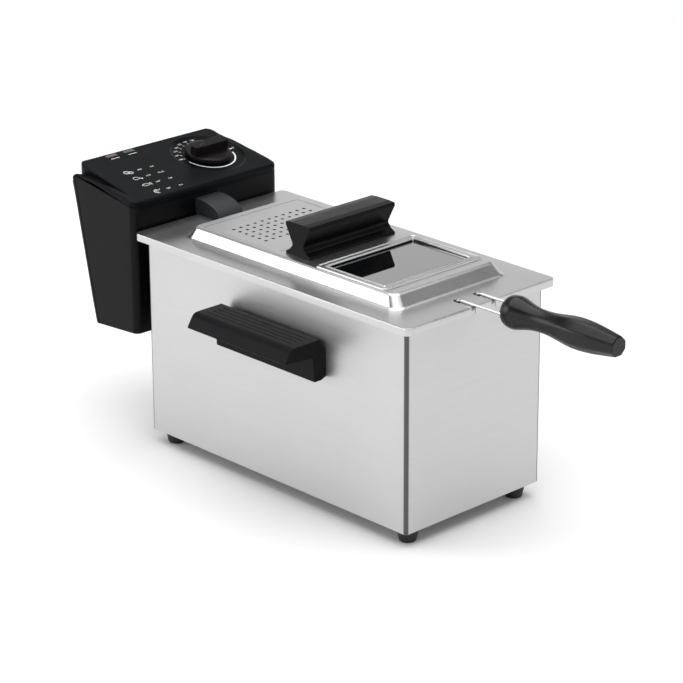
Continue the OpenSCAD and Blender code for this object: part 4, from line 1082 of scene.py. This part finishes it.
def seam_height(t):
    """Height of the seam at a share t of the depth, along a soft curve through SEAM's points."""
    t = min(max(t, 0), 1)
    i = max(k for k in range(len(SEAM) - 1) if SEAM[k][0] <= t)
    (t0, z0), (t1, z1) = SEAM[i], SEAM[i + 1]

    def pitch(k):
        k0, k1 = max(k - 1, 0), min(k + 1, len(SEAM) - 1)
        return (SEAM[k1][1] - SEAM[k0][1]) / (SEAM[k1][0] - SEAM[k0][0])

    u, span = (t - t0) / (t1 - t0), t1 - t0
    return (PANEL_FRONT.z + z0 * (1 + 2 * u) * (1 - u) ** 2 + z1 * u * u * (3 - 2 * u)
            + span * (pitch(i) * u * (1 - u) ** 2 - pitch(i + 1) * u * u * (1 - u)))


def rear_line(z):
    """The leaning rear face's Y at a height."""
    return COVER_LOW.y + REAR_DEPTH + (z - SHELL_LOW.z) * math.tan(REAR_LEAN)


def soft_step(t):
    t = min(max(t, 0), 1)
    return t * t * (3 - 2 * t)


class FRYER_OT_control_shell(Operator):
    """Tall black shell of the control unit"""

    bl_idname = "fryer.control_shell"
    bl_label = "Control shell"

    def execute(self, context):
        low = SHELL_LOW
        half, front = COVER_HIGH.x, COVER_LOW.y
        bottom_front = low.z + 4.0
        corner, rear_corner, seam = 6.5, 3.5, 0.6

        def ring(share, inset, lift=0.0):
            """The plan at a share of the height, drawn in by an inset and raised by a lift."""
            mean = low.z + share * (SHELL_HIGH.z - low.z)
            rear = rear_line(mean)
            outline = rounded_outline(
                -half + inset, half - inset, front + inset, rear - inset, max(corner - inset, 1),
                max(rear_corner - inset, 1), steps=8)
            points = []
            for x, y in self.with_rear_groove(outline, rear):
                t = (y - front) / (rear - front)
                foot = bottom_front - 4.0 * t
                z = foot + share * (seam_height(t) - seam - foot) + lift
                points.append((x, y, z))
            return points

        # insets and lifts of the rounded foot, and of the rounded rim that turns in to the seam's groove
        foot_edge = ((3, 0), (1.2, 0.15), (0.35, 0.8), (0, 2.2))
        rim_edge = ((0, -1.4), (0.15, -0.7), (0.5, -0.2), (1.1, 0), (1.8, -0.1), (1.8, -3.5))
        rings = [ring(0, inset, lift) for inset, lift in foot_edge]
        rings += [ring(share, 0) for share in (0.15, 0.3, 0.45, 0.6, 0.75, 0.9)]
        rings += [ring(1, inset, lift) for inset, lift in rim_edge]
        made = loose_object(skin(rings), "control_housing")
        slot_cutter = rounded_outline(BRIDGE_LOW.x + 1, BRIDGE_HIGH.x - 1, front - 5, front + 3, 0.5)
        cut(made, skin([level(slot_cutter, BRIDGE_LOW.z + 0.5), level(slot_cutter, BRIDGE_HIGH.z - 1)]))
        finish_piece(
            made, "control", MATERIALS["black_plastic"], "control_shell", slot="black_plastic", angle=30)
        return {"FINISHED"}

    def with_rear_groove(self, outline, rear):
        """Adds the fine groove where the rear cover meets each side."""
        groove_at, groove_w, groove_d = 5.0, 0.7, 0.7
        points = []
        for before, point in zip([outline[-1]] + outline[:-1], outline):
            on_side = abs(before[0] - point[0]) < 1e-6 and abs(before[1] - point[1]) > 20
            if on_side:
                x, inward = point[0], -math.copysign(groove_d, point[0])
                start = rear - groove_at
                ys = (start, start - 0.05, start - groove_w, start - groove_w - 0.05)
                corners = list(zip((x, x + inward, x + inward, x), ys))
                if point[1] > before[1]:
                    corners.reverse()
                points.extend(corners)
            points.append(point)
        return points


class FRYER_OT_top_cover(Operator):
    """Sloping panel with a scoop along each side and the dial's recess"""

    bl_idname = "fryer.top_cover"
    bl_label = "Top cover"

    def execute(self, context):
        made = loose_object(self.body(), "panel_cover")
        recess = lathe(self.recess_profile(), 96)
        cut(made, moved(recess, PANEL_TURN @ Matrix.Translation((DIAL_X, DIAL_S, 0))), "MANIFOLD")
        for node in ("lens_red", "lens_green"):
            low, high = box_mm(node)
            x = (low.x + high.x) / 2
            slot_outline = rounded_outline(x - 6.2, x + 6.2, 80.1, 84.5, 0.6)
            cut(made, moved(skin([level(slot_outline, -2), level(slot_outline, 2)]), PANEL_TURN), "MANIFOLD")
        finish_piece(made, "control", MATERIALS["panel_plastic"], "top_cover", slot="black_plastic", angle=30)
        return {"FINISHED"}

    def recess_profile(self):
        """Radii and heights from the middle of its floor out to the panel, and over it."""
        return [
            (0, -RECESS), (32.2, -RECESS), (32.9, -1.6), (33.5, -1.1), (34.1, -0.45), (34.7, -0.12),
            (35.6, 0.02), (36, 0.6), (0, 0.6)]

    def section(self, depth):
        """Half of the cover's outline across the unit, from the middle out and down to the seam."""
        t = depth / PANEL_DEPTH
        corner, rear_corner, edge, slab_corner = 6.5, 4.0, 2.2, 9.0
        half = COVER_HIGH.x
        if depth < corner:
            half -= corner - math.sqrt(corner ** 2 - (corner - depth) ** 2)
        behind = PANEL_DEPTH - depth
        if behind < rear_corner:
            half -= rear_corner - math.sqrt(rear_corner ** 2 - (rear_corner - behind) ** 2)
        panel = PANEL_FRONT.z + PANEL_RISE * t
        if depth < edge:
            panel -= edge - math.sqrt(edge ** 2 - (edge - depth) ** 2)
        if behind < edge:
            panel -= edge - math.sqrt(edge ** 2 - (edge - behind) ** 2)
        seam = seam_height(t)
        # the shoulder stands high over the seam at the front and sinks towards it along the panel
        front_rise, rear_rise = 5.4, 1.0
        sunk = soft_step((t - 0.12) / 0.48)
        shoulder = min(panel, seam + front_rise - (front_rise - rear_rise) * sunk)
        slab = COVER_HIGH.x - 7.6
        if behind < slab_corner:
            slab -= slab_corner - math.sqrt(slab_corner ** 2 - (slab_corner - behind) ** 2)
        slab = min(slab, half - 3.4)
        drop = panel - shoulder
        dip = min(drop * 0.45, 3.0)
        lip = min(drop * 0.5, 1.3)
        low = shoulder - dip
        outer = min(1.6, (shoulder - seam) * 0.7)
        points = [(0, panel), (slab * 0.5, panel), (slab - 3, panel), (slab - lip, panel)]
        for i in (1, 2, 3):
            turn = math.pi / 6 * i
            points.append((slab - lip + lip * math.sin(turn), panel - lip + lip * math.cos(turn)))
        points += [
            (slab + 0.02, low + dip * 0.35), (slab + 0.5, low + dip * 0.12), (slab + 1.5, low + dip * 0.2),
            (slab + 1.5 + (half - slab - 1.5) * 0.35, low + dip * 0.72),
            (half - outer - 0.6, shoulder)]
        for i in (0, 1, 2, 3):
            turn = math.pi / 6 * i
            points.append((half - outer + outer * math.sin(turn), shoulder - outer + outer * math.cos(turn)))
        points += [(half, seam + 0.35), (half - 0.35, seam), (half - 1.4, seam), (half - 1.4, seam - 2.5)]
        return points

    def body(self):
        """The cover's skin through sections that stand closer at the rounded front and rear."""
        stations = [
            0, 0.3, 0.75, 1.3, 2.2, 3.2, 4.6, 6.5, 10, 14, 18, 22, 26, 30, 34, 38, 43, 48, 54, 60, 66, 71,
            75, 77, 79, 80.7, 82, 83.2, 83.9, 84.6, 85.3, 85.75, PANEL_DEPTH]
        rings = []
        for depth in stations:
            half = self.section(depth)
            y = COVER_LOW.y + depth
            right = [(x, y, z) for x, z in half]
            left = [(-x, y, z) for x, z in reversed(half[1:])]
            rings.append(right + left)
        return skin(rings)


class FRYER_OT_bridge(Operator):
    """Arch that carries the heater's legs over the pot's rim"""

    bl_idname = "fryer.bridge"
    bl_label = "Bridge"

    def execute(self, context):
        low, high = BRIDGE_LOW, BRIDGE_HIGH
        rise, reach = high.z - low.z, (high.y + 1 - low.y) * 0.85
        outline = [(high.y + 1, low.z), (high.y + 1, high.z), (low.y + reach, high.z)]
        for i in range(1, 17):
            turn = math.pi / 2 * i / 16
            outline.append((low.y + reach - reach * math.sin(turn), low.z + rise * math.cos(turn)))
        body = prism([Vector(p) for p in outline], lambda p, end: (high.x if end else low.x, p.x, p.y))
        piece(body, "bridge_arch", "control", MATERIALS["bridge_plastic"], "bridge_cover",
              slot="black_plastic", edge=1.6)
        return {"FINISHED"}


class FRYER_OT_dial(Operator):
    """Round knob with its grip bar, and the line on its top"""

    bl_idname = "fryer.dial"
    bl_label = "Dial"

    def execute(self, context):
        points_at = math.radians(184)
        turn = PANEL_TURN @ Matrix.Translation((DIAL_X, DIAL_S, 0)) @ Matrix.Rotation(points_at, 4, "Z")
        radius, top = 21.0, 11.5
        low = -1.4
        skirt = lathe([
            (0, low), (radius - 0.6, low), (radius, low + 0.6), (radius, 1.9), (radius - 0.35, 2.6),
            (radius - 1.1, 3.0), (radius - 4, 3.3), (0, 3.5)], 96)
        # one side of the bar from its heel to its nib, and its corners' radii
        bar_side = [(-20.0, 5.8), (13.5, 4.4), (14.6, 3.8), (20.2, 3.5)]
        bar_radii = [1.2, 0.3, 0.3, 0.8]
        bar_outline = rounded_polygon(
            [(x, -y) for x, y in bar_side] + bar_side[::-1], bar_radii + bar_radii[::-1], steps=3)
        edge = 0.6
        rings = []
        for inset, z in ((0, 1), (0, top - edge), (edge * 0.3, top - edge * 0.3), (edge, top)):
            ring = []
            for p in bar_outline:
                shrink = Vector((p.x * (1 - inset / 20), p.y * (1 - inset / 5)))
                ring.append((shrink.x, shrink.y, z))
            rings.append(ring)
        made = loose_object(moved(join(skirt, skin(rings)), turn), "dial_knob")
        finish_piece(made, "dial", MATERIALS["knob_plastic"], "knob", slot="knob_plastic", angle=35)
        line = rounded_outline(6.5, 13.2, -0.5, 0.5, 0.4, steps=3)
        mark = skin([level(line, top - 0.05), level(line, top + 0.12)])
        piece(
            moved(mark, turn), "knob_line", "dial", MATERIALS["knob_ink"], "knob_mark", slot="white_plastic")
        return {"FINISHED"}


class FRYER_OT_lamps(Operator):
    """Signal lamps in the panel"""

    bl_idname = "fryer.lamps"
    bl_label = "Lamps"

    def execute(self, context):
        for node in ("lens_red", "lens_green"):
            low, high = box_mm(node)
            x = (low.x + high.x) / 2
            pane = plate(lambda inset: rounded_outline(
                x - 6 + inset, x + 6 - inset, 80.3 + inset, 84.3 - inset, 0.6), -3, 0.45, 0.3)
            piece(moved(pane, PANEL_TURN), f"{node}_window", "control", MATERIALS[node], node, slot=node)
        return {"FINISHED"}


# ---------- marks printed on the panel ----------

class FRYER_OT_print(Operator):
    """White marks round the dial and beside the lamps"""

    bl_idname = "fryer.print"
    bl_label = "Panel print"

    lift = 0.03                      # how far the ink stands over the panel
    sink = 0.02                      # how far it goes in
    floor = 0.0                      # where the surface lies, below the panel
    line = 0.42                      # width of a thin printed line

    def execute(self, context):
        self.parts = []
        self.floor = -RECESS
        self.print_dial_scale()
        self.floor = 0.0
        self.print_cooking_guide()
        self.print_lamp_marks()
        made = loose_object(join(*self.parts), "panel_marks")
        finish_piece(made, "control", MATERIALS["print"], slot="white_plastic", weighted=False)
        return {"FINISHED"}

    def add(self, outline):
        """A flat mark from an outline in panel millimetres."""
        mark = skin([level(outline, self.floor - self.sink), level(outline, self.floor + self.lift)])
        self.parts.append(moved(mark, PANEL_TURN))

    def bar(self, start, end, width=None):
        start, end = Vector(start), Vector(end)
        side = (end - start).normalized().orthogonal() * (width or self.line) / 2
        self.add([start - side, end - side, end + side, start + side])

    def stroke(self, points, width=None, closed=False):
        """A line of even width through points, with mitred corners."""
        points = [Vector(p) for p in points]
        half = (width or self.line) / 2
        count = len(points)
        sides = []
        for i in range(count):
            before = points[i - 1] if closed or i else points[i] * 2 - points[i + 1]
            after = points[(i + 1) % count] if closed or i + 1 < count else points[i] * 2 - points[i - 1]
            into, out = (points[i] - before).normalized(), (after - points[i]).normalized()
            normal = Vector((-(into.y + out.y), into.x + out.x)).normalized()
            sides.append(normal * half / max(normal.dot(Vector((-into.y, into.x))), 0.4))
        for i in range(count if closed else count - 1):
            j = (i + 1) % count
            self.add([points[i] - sides[i], points[j] - sides[j], points[j] + sides[j], points[i] + sides[i]])

    def circle(self, x, s, radius, count=24, start=0, end=360):
        steps = count if end - start >= 360 else count + 1
        turns = [math.radians(start + (end - start) * i / count) for i in range(steps)]
        return [(x + radius * math.cos(turn), s + radius * math.sin(turn)) for turn in turns]

    def lettering(self, text, x, s, height):
        """Figures and unit signs, as a mesh in panel millimetres."""
        curve = bpy.data.curves.new("figures", "FONT")
        curve.body = text
        curve.size = height / 0.72
        curve.align_x = "CENTER"
        curve.align_y = "CENTER"
        curve.extrude = self.sink
        curve.resolution_u = 2
        holder = bpy.data.objects.new("figures", curve)
        bpy.context.scene.collection.objects.link(holder)
        bpy.context.view_layer.update()
        data = bpy.data.meshes.new_from_object(holder.evaluated_get(bpy.context.evaluated_depsgraph_get()))
        mesh = bmesh.new()
        mesh.from_mesh(data)
        bmesh.ops.remove_doubles(mesh, verts=mesh.verts, dist=1e-4)
        bpy.data.objects.remove(holder)
        bpy.data.curves.remove(curve)
        bpy.data.meshes.remove(data)
        place = Matrix.Translation((x, s, self.floor + self.lift - self.sink))
        self.parts.append(moved(mesh, PANEL_TURN @ place))

    def print_dial_scale(self):
        """Arc, ticks and temperatures round the knob, with the rest mark on the right."""
        centre = Vector((DIAL_X, DIAL_S))

        def at(radius, angle):
            turn = math.radians(angle)
            return centre + Vector((math.cos(turn), math.sin(turn))) * radius

        arc_radius, thin, thicker = 25.2, 0.7, 0.84
        start, end = 187, 346
        count = 60
        inner, outer = [], []
        for i in range(count + 1):
            angle = start + (end - start) * i / count
            thick = thin + thicker * i / count
            inner.append(at(arc_radius - thick / 2, angle))
            outer.append(at(arc_radius + thick / 2, angle))
        for i in range(count):
            self.add([inner[i], outer[i], outer[i + 1], inner[i + 1]])
        figures = ("190", "180", "170", "160", "150", "140", "130")
        first, last = 173, 79
        for i, text in enumerate(figures):
            angle = first + (last - first) * i / (len(figures) - 1)
            self.bar(at(24.6, angle), at(26.4, angle), 0.55)
            self.lettering(text, *at(29.6, angle), 2.3)
        self.bar(at(26.2, 359), at(28.6, 359), 1.5)
        self.lettering("0", *at(30.6, 0), 2.6)

    def print_cooking_guide(self):
        """Four rows: a picture of the food, its temperature and its time."""
        rows = (49.0, 36.5, 23.5, 9.0)
        pictures = (self.rings_picture, self.drumstick_picture, self.fish_picture, self.shrimp_picture)
        temperatures = ("190", "170", "160", "150")
        times = ("3-5", "12-15", "5-8", "4-6")
        for s, picture, heat, minutes in zip(rows, pictures, temperatures, times):
            picture(-50.0, s)
            self.lettering(heat + "\u00b0", -37.0, s, 2.2)
            self.lettering(minutes, -23.0, s, 2.2)

    def rings_picture(self, x, s):
        """Onion rings."""
        for dx, ds, radius in ((-1.8, 0.8, 2.6), (2.0, -0.9, 2.1)):
            self.stroke(self.circle(x + dx, s + ds, radius), 0.45, closed=True)
            self.stroke(self.circle(x + dx, s + ds, radius - 1.1), 0.3, closed=True)

    def drumstick_picture(self, x, s):
        """Chicken leg."""
        meat = [(-3.9, 0.6), (-3.0, 2.5), (-0.8, 3.0), (1.0, 1.9), (2.2, 0.2), (1.7, -0.9), (0.2, -1.1),
                (-1.4, -1.9), (-3.2, -1.4)]
        self.stroke([(x + a, s + b) for a, b in meat], 0.45, closed=True)
        self.bar((x + 2.0, s - 0.5), (x + 4.2, s - 1.9), 0.7)
        for a, b in ((4.3, -1.4), (3.8, -2.3)):
            self.add(self.circle(x + a, s + b, 0.6, 12))

    def fish_picture(self, x, s):
        """Fish."""
        body = [(4.0 * math.cos(math.radians(a)), 1.7 * math.sin(math.radians(a))) for a in range(0, 360, 18)]
        self.stroke([(x - 0.8 + a, s + b) for a, b in body], 0.45, closed=True)
        self.stroke([(x + 3.0, s + 0.2), (x + 5.0, s + 1.9), (x + 5.0, s - 1.9), (x + 3.0, s - 0.2)], 0.45)
        self.add(self.circle(x - 3.2, s + 0.4, 0.35, 10))

    def shrimp_picture(self, x, s):
        """Curled shrimp."""
        self.stroke(self.circle(x, s, 3.0, 20, 20, 290), 0.5)
        self.stroke(self.circle(x, s, 1.4, 14, 20, 290), 0.4)
        for angle in (70, 115, 160, 205, 250):
            turn = Vector((math.cos(math.radians(angle)), math.sin(math.radians(angle))))
            self.bar(Vector((x, s)) + turn * 1.4, Vector((x, s)) + turn * 3.0, 0.3)
        self.stroke([(x + 2.8, s + 1.0), (x + 4.4, s + 2.2), (x + 5.0, s + 3.2)], 0.3)

    def print_lamp_marks(self):
        for node in ("lens_red", "lens_green"):
            low, high = box_mm(node)
            x = (low.x + high.x) / 2
            for step in range(6):
                self.bar((x - 4.4 + step * 1.6, 77.0), (x - 3.2 + step * 1.6, 77.0), 0.8)


# ---------- rear of the control unit ----------

class FRYER_OT_rear_cover(Operator):
    """Removable rear cover with vent slots"""

    bl_idname = "fryer.rear_cover"
    bl_label = "Rear cover"

    def execute(self, context):
        refined("rear_cover", "rear_panel", "control", MATERIALS["black_plastic"], 0.5, "black_plastic")
        refined("cord_inlet", "cord_entry", "control", MATERIALS["base_plastic"], 0.4, "base_plastic")
        refined("reset_button", "reset_cap", "reset", MATERIALS["reset_plastic"], 0.3, "reset_plastic")
        return {"FINISHED"}


class FRYER_OT_screws(Operator):
    """Pan-head screws that hold the covers, grips and feet"""

    bl_idname = "fryer.screws"
    bl_label = "Screws"

    groups = ("rear_screws", "foot_screws", "lid_handle_screws", "side_handle_screws")

    def execute(self, context):
        for node in self.groups:
            refined(node, f"{node}_turned", body_of(node), MATERIALS["screw_steel"], 0.15, "screw_steel")
        return {"FINISHED"}


# ---------- basket ----------

class FRYER_OT_basket(Operator):
    """Woven wire basket with its rim, ribs and brackets"""

    bl_idname = "fryer.basket"
    bl_label = "Basket"

    def execute(self, context):
        made = self.cage()
        woven_wire_tree().apply(made, {
            "Wire radius": sizes().basket_wire / MM / 2, "Sides": 6, "Material": MATERIALS["bright_wire"]})
        finish_piece(made, "basket", MATERIALS["bright_wire"], "basket_mesh", slot="bright_wire", angle=60,
                     weighted=False)
        for node in ("basket_rim", "basket_ribs"):
            refined(node, f"{node}_wire", "basket", MATERIALS["bright_wire"], 0, "bright_wire")
        for node in ("handle_bracket", "drain_hook"):
            refined(node, f"{node}_sheet", "basket", MATERIALS["plated_steel"], 0.2, "plated_steel")
        return {"FINISHED"}

    def cage(self):
        """Quad sheets along the basket's walls and floor, marked for the weave."""
        wire = sizes().basket_wire / MM
        low = MESH_LOW + Vector((1, 1, 1)) * wire * 1.05
        high = MESH_HIGH - Vector((1, 1, 1)) * wire * 1.05
        corner, foot = 11.0, 5.0
        pitch = sizes().basket_pitch / MM
        across = round((high.x - low.x - 2 * corner) / pitch)
        along = round((high.y - low.y - 2 * corner) / pitch)
        up = round((high.z - low.z - foot) / pitch)
        arc = 2 * math.ceil(corner * math.pi / 4 / pitch)

        def outline(inset):
            """Even steps along each straight side and round each corner."""
            r = corner - inset
            x, y = high.x - corner, (high.y - low.y) / 2 - corner
            middle = (high.y + low.y) / 2
            points = []
            for cx, cy, start, steps, side in (
                    (x, y, 0, across, (-2 * x, 0)), (-x, y, 90, along, (0, -2 * y)),
                    (-x, -y, 180, across, (2 * x, 0)), (x, -y, 270, along, (0, 2 * y))):
                for i in range(arc):
                    turn = math.radians(start + 90 * i / arc)
                    points.append(Vector((cx + r * math.cos(turn), middle + cy + r * math.sin(turn))))
                turn = math.radians(start + 90)
                begin = Vector((cx + r * math.cos(turn), middle + cy + r * math.sin(turn)))
                points.extend(begin + Vector(side) * i / steps for i in range(steps))
            return points

        mesh = bmesh.new()
        walls = [level(outline(0), high.z - (high.z - low.z - foot) * k / up) for k in range(up + 1)]
        for turn in (math.pi / 4, math.pi / 2):
            walls.append(level(outline(foot * (1 - math.cos(turn))), low.z + foot - foot * math.sin(turn)))
        self.sheet(mesh, walls, closed=True)
        x, y0, y1 = high.x - foot, low.y + foot, high.y - foot
        wide, long = round(2 * x / pitch), round((y1 - y0) / pitch)
        self.sheet(mesh, [
            [(x * (2 * i / wide - 1), y0 + (y1 - y0) * k / long, low.z) for i in range(wide + 1)]
            for k in range(long + 1)], closed=False)
        data = bpy.data.meshes.new("basket_cage")
        mesh.to_mesh(data)
        mesh.free()
        made = bpy.data.objects.new("woven_basket", data)
        bpy.context.scene.collection.objects.link(made)
        return made

    def sheet(self, mesh, rows, closed):
        """Adds a sheet of quads; its rows are weft and the edges between them warp."""
        over = mesh.verts.layers.float.get("over") or mesh.verts.layers.float.new("over")
        warp = mesh.edges.layers.bool.get("warp") or mesh.edges.layers.bool.new("warp")
        made = [[mesh.verts.new(p) for p in row] for row in rows]
        for k, row in enumerate(made):
            for i, vert in enumerate(row):
                vert[over] = 1.0 if (k + i) % 2 else -1.0
        count = len(made[0])
        for upper, lower in zip(made, made[1:]):
            for i in range(count if closed else count - 1):
                j = (i + 1) % count
                mesh.faces.new((upper[i], lower[i], lower[j], upper[j]))
            for a, b in zip(upper, lower):
                mesh.edges.get((a, b))[warp] = True


class FRYER_OT_basket_handle(Operator):
    """Bent handle wires and the long grip"""

    bl_idname = "fryer.basket_handle"
    bl_label = "Basket handle"

    def execute(self, context):
        self.bend_wires()
        self.mould_grip()
        return {"FINISHED"}

    def bend_wires(self):
        low, high = WIRES_LOW, WIRES_HIGH
        radius = WIRE_RADIUS
        wires = []
        for side in (-1, 1):
            x = side * (high.x - radius)
            path = filleted([
                Vector((x, high.y - radius, low.z)), Vector((x, high.y - radius, high.z - radius)),
                Vector((x, low.y, high.z - radius))], 7.0, steps=10)
            wires.append(tube(path, radius, 16))
        piece(join(*wires), "handle_rods", "basket", MATERIALS["bright_wire"], "handle_wires",
              slot="bright_wire", angle=50)

    def mould_grip(self):
        """Round collar, narrow neck and a faceted body that swells and tapers to the tail."""
        low, high = GRIP_LOW, GRIP_HIGH
        length = high.y - low.y
        middle = (low.z + high.z) / 2
        # share of the length from the collar to the tail, and radius there
        profile = [
            (0.0, 7.6), (0.006, 9.9), (0.02, 12.0), (0.045, 13.4), (0.075, 13.95), (0.10, 13.95),
            (0.125, 13.4), (0.17, 12.0), (0.22, 10.6), (0.28, 9.6), (0.34, 9.3), (0.40, 9.6),
            (0.46, 10.5), (0.53, 11.9), (0.59, 12.9), (0.65, 13.3), (0.72, 13.1), (0.80, 12.3),
            (0.88, 11.0), (0.945, 9.8), (0.985, 9.05), (0.994, 8.7), (1.0, 8.0)]
        sides, per_side = 8, 8
        rings = []
        for share, radius in self.smooth(profile, 3):
            facet = soft_step((share - 0.36) / 0.3)
            ring = []
            for k in range(sides * per_side):
                turn = 2 * math.pi * (k + 0.5) / (sides * per_side)
                within = (turn + math.pi / sides) % (2 * math.pi / sides) - math.pi / sides
                flat = math.cos(math.pi / sides) / math.cos(within)
                soft = min(flat, 1.0 - 0.35 * (1 - math.cos(math.pi / sides)))
                r = radius * (1 + facet * (soft - 1))
                ring.append((r * math.cos(turn), high.y - share * length, middle + r * math.sin(turn)))
            rings.append(ring)
        made = loose_object(skin(rings), "long_grip")
        finish_piece(made, "basket", MATERIALS["grip_plastic"], "basket_grip", slot="black_plastic", angle=40)

    def smooth(self, profile, steps):
        """The profile with points added along a soft curve between its own."""
        count = len(profile)
        for i in range(count - 1):
            p0 = Vector(profile[max(i - 1, 0)])
            p1, p2 = Vector(profile[i]), Vector(profile[i + 1])
            p3 = Vector(profile[min(i + 2, count - 1)])
            for k in range(steps):
                t = k / steps
                yield tuple(0.5 * (2 * p1 + (p2 - p0) * t + (2 * p0 - 5 * p1 + 4 * p2 - p3) * t ** 2
                                   + (3 * p1 - p0 - 3 * p2 + p3) * t ** 3))
        yield profile[-1]


# ---------- pot and inner parts ----------

class FRYER_OT_inner_parts(Operator):
    """Pot, heater, filter tray and the parts inside the control unit"""

    bl_idname = "fryer.inner_parts"
    bl_label = "Pot and inner parts"

    def execute(self, context):
        edges = {
            "oil_pot": 0.3, "heating_element": 0.0, "element_plate": 0.3, "filter_tray": 0.3,
            "window_seal": 0.2, "window_retainer": 0.2, "guide_rails": 0.2, "interlock_bracket": 0.2}
        for row in frame["record"]["subparts"]:
            node = row["node"]
            if node in edges:
                refined(node, f"{node}_detail", body_of(node), MATERIALS[row["material_slot"]], edges[node],
                        row["material_slot"])
        return {"FINISHED"}


class FRYER_PT_pieces(Panel):
    """Lists the fryer's builders"""

    bl_label = "Deep Fryer"
    bl_idname = "FRYER_PT_pieces"
    bl_space_type = "VIEW_3D"
    bl_region_type = "UI"
    bl_category = "Fryer"

    def draw(self, context):
        layout = self.layout
        for group in (context.scene.fryer_finishes, context.scene.fryer_sizes):
            box = layout.box()
            for name in group.__annotations__:
                box.prop(group, name)
        for operator in OPERATORS:
            layout.operator(operator.bl_idname, text=operator.bl_label)


OPERATORS = (
    FRYER_OT_stage, FRYER_OT_housing, FRYER_OT_feet, FRYER_OT_side_grips, FRYER_OT_lid, FRYER_OT_window,
    FRYER_OT_lid_handle, FRYER_OT_filter_cover, FRYER_OT_bridge, FRYER_OT_control_shell, FRYER_OT_top_cover,
    FRYER_OT_dial, FRYER_OT_lamps, FRYER_OT_print, FRYER_OT_rear_cover, FRYER_OT_screws, FRYER_OT_basket,
    FRYER_OT_basket_handle, FRYER_OT_inner_parts)


def register():
    for kind in (FryerFinishes, FryerSizes, *OPERATORS, FRYER_PT_pieces):
        bpy.utils.register_class(kind)
    bpy.types.Scene.fryer_finishes = PointerProperty(type=FryerFinishes)
    bpy.types.Scene.fryer_sizes = PointerProperty(type=FryerSizes)


def unregister():
    del bpy.types.Scene.fryer_sizes
    del bpy.types.Scene.fryer_finishes
    for kind in reversed((FryerFinishes, FryerSizes, *OPERATORS, FRYER_PT_pieces)):
        bpy.utils.unregister_class(kind)


def main():
    register()
    make_materials()
    dress_frame_nodes()
    for operator in OPERATORS:
        group, name = operator.bl_idname.split(".")
        getattr(getattr(bpy.ops, group), name)()


if __name__ == "__main__":
    main()
